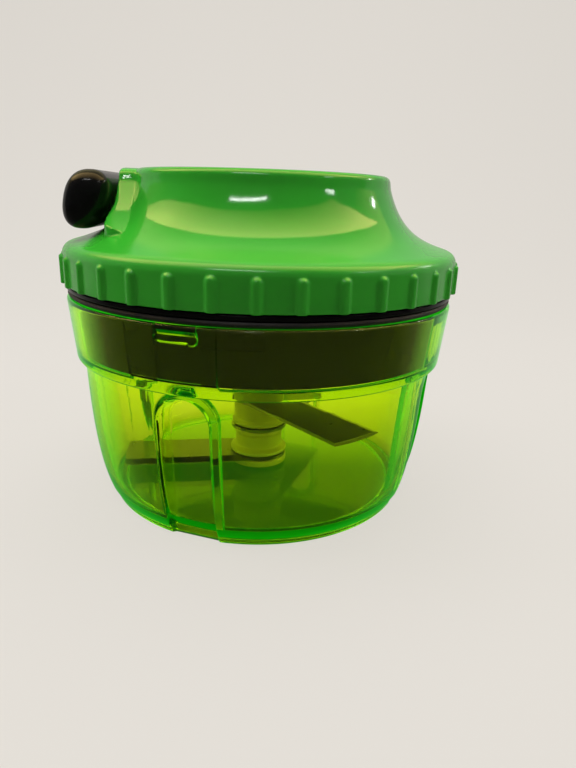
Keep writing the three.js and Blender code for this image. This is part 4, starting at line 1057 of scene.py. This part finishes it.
class CHOPPER_OT_handle(bpy.types.Operator):
    """Models the leaning pull handle with its plug, the brass eyelet and the cord"""

    bl_idname = "chopper.handle"
    bl_label = "Handle, eyelet and cord"

    def execute(self, context):
        rings = handle_rings()
        around = 64
        leave_edit()
        bpy.ops.object.select_all(action="DESELECT")
        bpy.ops.mesh.primitive_circle_add(
            vertices=around, radius=5 * MM, location=(0, rings[0][0] * MM, 0),
            rotation=(math.pi / 2, 0, 0), fill_type="NGON")
        handle = context.object
        handle.name = handle.data.name = "Pull_handle"
        settled(handle)
        bpy.ops.object.mode_set(mode="EDIT")
        bpy.ops.mesh.select_all(action="SELECT")
        for (y, _), (next_y, _) in zip(rings, rings[1:]):
            bpy.ops.mesh.extrude_region_move(TRANSFORM_OT_translate={"value": (0, (next_y - y) * MM, 0)})
        bpy.ops.mesh.select_all(action="SELECT")
        bpy.ops.mesh.normals_make_consistent(inside=False)
        bpy.ops.object.mode_set(mode="OBJECT")

        half_w = (HANDLE_SIZE.x - 0.7 - HANDLE_SLIM) / 2
        half_h = HANDLE_SIZE.z / 2
        co = points_of(handle)
        at = np.array([y for y, _ in rings])
        inset = np.array([i for _, i in rings])[np.argmin(np.abs(co[:, 1:2] - at[None, :]), axis=1)]
        angle = np.arctan2(co[:, 2], co[:, 0])
        power = 2 / 2.4
        cos = np.sign(np.cos(angle)) * np.abs(np.cos(angle)) ** power
        sin = np.sign(np.sin(angle)) * np.abs(np.sin(angle)) ** power
        up = (half_h - inset) * sin
        out = (half_w - inset) * cos + HANDLE_LEAN * up
        middle_x = HANDLE_MID.x + HANDLE_SLIM / 2
        move_points(handle, np.stack([middle_x + out, co[:, 1], HANDLE_MID.z + up], axis=1))
        face = -low("pull_handle").x
        bore = spun_on_cord("Bore", [(0, 38), (1.3, 38), (1.3, 52), (0, 52)], 32)
        with_tool(handle, bore, "DIFFERENCE")
        lip = -EYELET_FACE_X + 0.4
        lip_pocket = spun_on_cord("Lip_pocket", [(0, 38), (3.8, 38), (3.8, lip), (0, lip)], 48)
        with_tool(handle, lip_pocket, "DIFFERENCE")
        plug_foot = -high("handle_plug").x - HANDLE_SLIM
        pocket = spun_on_cord("Pocket", softened([
            (0, 49.6), (2.4, 49.6), (2.4, plug_foot - 0.3), (3.9, plug_foot - 0.3),
            (3.9, face + 4), (0, face + 4)]), 64)
        with_tool(handle, pocket, "DIFFERENCE")
        smoothed(handle, 45)
        fitted(handle, "handle", ["pull_handle"], finish("black"))

        plug_face = -low("handle_plug").x - HANDLE_SLIM
        plug = spun_on_cord("Handle_plug", softened([
            (0, plug_foot), (3.6, plug_foot, 0.15), (3.6, plug_face - 0.1, 0.6),
            (2.4, plug_face, 0.6), (0, plug_face)]))
        smoothed(plug)
        fitted(plug, "handle", ["handle_plug"], finish("black"))

        inner_face = -high("cord_eyelet").x
        outer_face = -EYELET_FACE_X
        wall_out = -RECESS_WALL_X
        eyelet = spun_on_cord("Cord_eyelet", softened([
            (1.3, inner_face, 0.25), (3.4, inner_face, 0.3), (3.4, inner_face + 0.9, 0.2),
            (2.3, inner_face + 0.9), (2.3, wall_out + 0.3), (3.4, wall_out + 0.3, 0.1),
            (3.4, outer_face - 0.1, 0.5), (2.6, outer_face, 0.3), (1.3, outer_face, 0.45)],
            closed=True), 64, True)
        smoothed(eyelet, 50)
        fitted(eyelet, "lid", ["cord_eyelet"], finish("brass"))

        start = outer_face - 0.6
        knot = -(low("cord_run").x + 2)
        run = spun_on_cord("Cord_run", [
            (0, start), (0.8, start), (0.9, start + 0.15), (0.9, knot - 1.9), (1.3, knot - 1.6),
            (1.7, knot - 1.1), (1.95, knot - 0.4), (1.95, knot + 0.4), (1.7, knot + 1.1),
            (1.1, knot + 1.7), (0, knot + 1.95)], 32)
        smoothed(run, 60)
        fitted(run, None, ["cord_run"], finish("cord"))
        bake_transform(run)
        return {"FINISHED"}


# ---- Small parts inside -----------------------------------------------------------------------------

KEPT_NODES = {
    "axle": "blade_steel",
    "mainspring": "spring_steel",
    "cord_reel": "white",
    "cord_coil": "cord",
    "cord_lead": "cord",
    "ratchet_ring": "grey",
    "drive_coupler": "grey",
    "pawl_1": "screw_steel",
    "pawl_2": "screw_steel",
    "base_screw_1": "screw_steel",
    "base_screw_2": "screw_steel",
    "base_screw_3": "screw_steel",
    "base_screw_4": "screw_steel",
}


class CHOPPER_OT_inside(bpy.types.Operator):
    """Finishes the reel, spring, drive, pawls and screws inside the lid"""

    bl_idname = "chopper.inside"
    bl_label = "Parts inside the lid"

    def execute(self, context):
        for name, slot in KEPT_NODES.items():
            obj = bpy.data.objects.get(name)
            if obj is None:
                raise RuntimeError(f"no frame node is named {name}")
            obj.data.materials.clear()
            obj.data.materials.append(finish(slot))
        return {"FINISHED"}


# ---- Stage --------------------------------------------------------------------------------------------


def scaled(mat, value, factor):
    made = node(mat, "ShaderNodeMath", operation="MULTIPLY")
    made.inputs[1].default_value = factor
    link(mat, value, made.inputs[0])
    return made.outputs[0]


def lifted(mat, base, colour, share):
    """A shader mixed with a plain glow, by a share."""
    glow = node(mat, "ShaderNodeEmission")
    glow.inputs["Color"].default_value = (*colour, 1)
    mix = node(mat, "ShaderNodeMixShader")
    link(mat, share, mix.inputs[0])
    link(mat, base, mix.inputs[1])
    link(mat, glow.outputs[0], mix.inputs[2])
    return mix.outputs[0], glow


def seen_pale(mat, colour):
    """Keeps the backdrop even and pale for the camera, and lets it fall off in reflections."""
    path = node(mat, "ShaderNodeLightPath")
    axes = node(mat, "ShaderNodeSeparateXYZ")
    link(mat, mapped(mat), axes.inputs[0])
    mirrored = node(mat, "ShaderNodeMath", operation="SUBTRACT", use_clamp=True)
    link(mat, path.outputs["Is Glossy Ray"], mirrored.inputs[0])
    link(mat, path.outputs["Is Transmission Ray"], mirrored.inputs[1])
    behind = node(mat, "ShaderNodeMath", operation="MULTIPLY")
    link(mat, path.outputs["Is Transmission Ray"], behind.inputs[0])
    link(mat, spread(mat, axes.outputs["Y"], 0.0, 0.10, 0.0, 1.0), behind.inputs[1])
    shown = mat.node_tree.nodes["Principled BSDF"].outputs[0]
    shown, _ = lifted(mat, shown, colour, scaled(mat, path.outputs["Is Camera Ray"], 0.8))
    shown, glow = lifted(mat, shown, colour, scaled(mat, mirrored.outputs[0], 0.9))
    shown, _ = lifted(mat, shown, (1.0, 0.96, 0.86), behind.outputs[0])
    link(mat, spread(mat, axes.outputs["Y"], -0.05, 0.16, 0.02, 0.60), glow.inputs["Strength"])
    link(mat, shown, mat.node_tree.nodes["Material Output"].inputs["Surface"])


# Corners of the glowing part of the ceiling, in millimetres.
CEILING_Z = 600
CEILING_EDGE = (
    (-870, 570), (-905, 390), (-885, 156), (-785, -30), (-560, -200), (-345, -283), (-150, -340),
    (94, -380), (396, -354), (635, -308), (720, -74), (727, 215), (731, 405), (460, 160),
    (290, 84), (110, 51), (-28, 60), (-170, 87), (-350, 133), (-570, 268), (-780, 490))


def glow_panel(name, edge, height, colour, near, far):
    """A sheet overhead that only gloss shows; near and far are places in Y with strengths."""
    panel = drawn(name, [(x, y, height) for x, y in edge], closed=True)
    bpy.ops.mesh.select_all(action="SELECT")
    bpy.ops.mesh.edge_face_add()
    bpy.ops.object.mode_set(mode="OBJECT")
    mat = material(name, colour, 0.9)
    glow = node(mat, "ShaderNodeEmission")
    glow.inputs["Color"].default_value = (*colour, 1)
    axes = node(mat, "ShaderNodeSeparateXYZ")
    link(mat, mapped(mat), axes.inputs[0])
    along = spread(mat, axes.outputs["Y"], near[0], far[0], near[1], far[1])
    strength = node(mat, "ShaderNodeMath", operation="MULTIPLY")
    link(mat, along, strength.inputs[0])
    link(mat, spread(mat, axes.outputs["X"], -0.95, -0.55, 0.3, 1.0), strength.inputs[1])
    link(mat, strength.outputs[0], glow.inputs["Strength"])
    link(mat, glow.outputs[0], mat.node_tree.nodes["Material Output"].inputs["Surface"])
    panel.data.materials.append(mat)
    panel.visible_camera = False
    panel.visible_diffuse = False
    panel.visible_transmission = False
    panel.visible_shadow = False


def softbox(name, place, aim, size, power, colour=(1, 1, 1), gloss=True, matt=True):
    """A soft lamp; gloss or matt surfaces can be left out of its light."""
    lamp = bpy.data.lights.new(name, "AREA")
    lamp.shape = "RECTANGLE"
    lamp.size, lamp.size_y = size
    lamp.energy = power
    lamp.color = colour
    obj = bpy.data.objects.new(name, lamp)
    obj.location = place
    obj.rotation_euler = (Vector(aim) - Vector(place)).to_track_quat("-Z", "Y").to_euler()
    obj.visible_glossy = gloss
    obj.visible_diffuse = matt
    obj.visible_transmission = matt
    bpy.context.scene.collection.objects.link(obj)
    return obj


class CHOPPER_OT_stage(bpy.types.Operator):
    """Sets the pale floor and backdrop, the soft lamps and the camera"""

    bl_idname = "chopper.stage"
    bl_label = "Stage"

    def execute(self, context):
        scene = context.scene
        stage = scene.chopper_stage
        tone = tuple(stage.backdrop)

        sweep = [(-4000, y, z) for y, z in softened([(-4000, 0), (700, 0, 420), (700, 1500)], turns=16)]
        backdrop = drawn("Backdrop", sweep)
        bpy.ops.mesh.select_all(action="SELECT")
        bpy.ops.mesh.extrude_region_move(TRANSFORM_OT_translate={"value": (8, 0, 0)})
        tidied(backdrop)
        smoothed(backdrop, 60, weighted=False)
        matt_tone = tuple(0.5 * c for c in tone)
        cloth = material("Pale backdrop", matt_tone, 0.9, Specular_IOR_Level=0.1)
        weave = noise(cloth, mapped(cloth), 6, 2)
        vary_colour(cloth, weave, matt_tone, tuple(0.985 * c for c in matt_tone))
        seen_pale(cloth, tone)
        backdrop.data.materials.append(cloth)

        world = bpy.data.worlds.new("Studio")
        scene.world = world
        world.use_nodes = True
        tree = world.node_tree
        tree.nodes.clear()
        out = tree.nodes.new("ShaderNodeOutputWorld")
        path = tree.nodes.new("ShaderNodeLightPath")
        room = tree.nodes.new("ShaderNodeBackground")
        room.inputs["Color"].default_value = (1.0, 0.98, 0.95, 1)
        room.inputs["Strength"].default_value = 0.10
        dim = tree.nodes.new("ShaderNodeBackground")
        dim.inputs["Color"].default_value = (0.95, 0.97, 1.0, 1)
        dim.inputs["Strength"].default_value = 0.09
        white = tree.nodes.new("ShaderNodeBackground")
        white.inputs["Color"].default_value = (1, 1, 1, 1)
        white.inputs["Strength"].default_value = 0.8
        mirrored = tree.nodes.new("ShaderNodeMixShader")
        tree.links.new(path.outputs["Is Glossy Ray"], mirrored.inputs[0])
        tree.links.new(room.outputs[0], mirrored.inputs[1])
        tree.links.new(dim.outputs[0], mirrored.inputs[2])
        through = tree.nodes.new("ShaderNodeMixShader")
        tree.links.new(path.outputs["Is Transmission Ray"], through.inputs[0])
        tree.links.new(mirrored.outputs[0], through.inputs[1])
        tree.links.new(white.outputs[0], through.inputs[2])
        seen = tree.nodes.new("ShaderNodeMixShader")
        tree.links.new(path.outputs["Is Camera Ray"], seen.inputs[0])
        tree.links.new(through.outputs[0], seen.inputs[1])
        tree.links.new(white.outputs[0], seen.inputs[2])
        tree.links.new(seen.outputs[0], out.inputs["Surface"])

        aim = (0, 0, 0.06)
        softbox("Key_overhead", (-0.05, 0.06, 0.60), aim, (0.7, 0.4), stage.key_power, gloss=False)
        softbox("Side_left", (-0.55, 0.06, 0.30), aim, (0.28, 0.36), stage.side_power, gloss=False)
        softbox("Side_right", (0.55, -0.06, 0.32), aim, (0.28, 0.36), stage.side_power, gloss=False)
        glow_panel("Warm_ceiling", CEILING_EDGE, CEILING_Z, (1.0, 0.70, 0.28), (-0.36, 0.9), (0.10, 5.2))
        rear = ((-1500, 0), (1500, 0), (1500, 690), (-1500, 690))
        glow_panel("Rear_ceiling", rear, CEILING_Z + 20, (1.0, 0.9, 0.45), (0.05, 0.35), (0.35, 1.0))
        softbox("Strip_front", (-0.12, -0.50, 0.60), aim, (0.33, 0.019), 0.6, matt=False)
        softbox("Strip_right", (0.73, -0.39, 0.60), aim, (0.12, 0.04), 0.25, matt=False)
        softbox("Glint_right", (1.07, 0.42, 0.60), aim, (0.08, 0.12), 0.6, matt=False)

        lens = bpy.data.cameras.new("Camera")
        lens.lens = stage.lens
        lens.sensor_width = 36
        lens.clip_start = 0.01
        eye = bpy.data.objects.new("Camera", lens)
        scene.collection.objects.link(eye)
        pitch, yaw, roll = 0.31062, 0.05052, 0.03423
        ahead = Vector((
            math.sin(yaw) * math.cos(pitch), math.cos(yaw) * math.cos(pitch), -math.sin(pitch)))
        side = Vector((math.cos(yaw), -math.sin(yaw), 0))
        up = side.cross(ahead)
        right = side * math.cos(roll) + up * math.sin(roll)
        top = up * math.cos(roll) - side * math.sin(roll)
        turn = Matrix((right, top, -ahead)).transposed().to_4x4()
        eye.matrix_world = Matrix.Translation((0, -0.19268, 0.09401)) @ turn
        scene.camera = eye
        scene.view_settings.view_transform = "Standard"
        return {"FINISHED"}


# ---- Panel and registration ---------------------------------------------------------------------------

OPERATORS = (
    CHOPPER_OT_bowl,
    CHOPPER_OT_blades,
    CHOPPER_OT_lid_base,
    CHOPPER_OT_cover,
    CHOPPER_OT_handle,
    CHOPPER_OT_inside,
    CHOPPER_OT_stage,
)


class CHOPPER_PT_panel(bpy.types.Panel):
    """Lists the steps that model and finish the chopper"""

    bl_idname = "CHOPPER_PT_panel"
    bl_label = "Pull-Cord Chopper"
    bl_space_type = "VIEW_3D"
    bl_region_type = "UI"
    bl_category = "Chopper"

    def draw(self, context):
        column = self.layout.column()
        for operator in OPERATORS:
            column.operator(operator.bl_idname)
        for group in (context.scene.chopper_sizes, context.scene.chopper_colours,
                      context.scene.chopper_stage):
            box = self.layout.box()
            for name in group.__annotations__:
                box.prop(group, name)


GROUPS = (ChopperSizes, ChopperColours, ChopperStage)


def register():
    for each in (*GROUPS, *OPERATORS, CHOPPER_PT_panel):
        bpy.utils.register_class(each)
    bpy.types.Scene.chopper_sizes = bpy.props.PointerProperty(type=ChopperSizes)
    bpy.types.Scene.chopper_colours = bpy.props.PointerProperty(type=ChopperColours)
    bpy.types.Scene.chopper_stage = bpy.props.PointerProperty(type=ChopperStage)


def unregister():
    del bpy.types.Scene.chopper_stage
    del bpy.types.Scene.chopper_colours
    del bpy.types.Scene.chopper_sizes
    for each in reversed((*GROUPS, *OPERATORS, CHOPPER_PT_panel)):
        bpy.utils.unregister_class(each)


def main():
    register()
    bpy.ops.chopper.bowl()
    bpy.ops.chopper.blades()
    bpy.ops.chopper.lid_base()
    bpy.ops.chopper.cover()
    bpy.ops.chopper.handle()
    bpy.ops.chopper.inside()
    bpy.ops.chopper.stage()


if __name__ == "__main__":
    main()
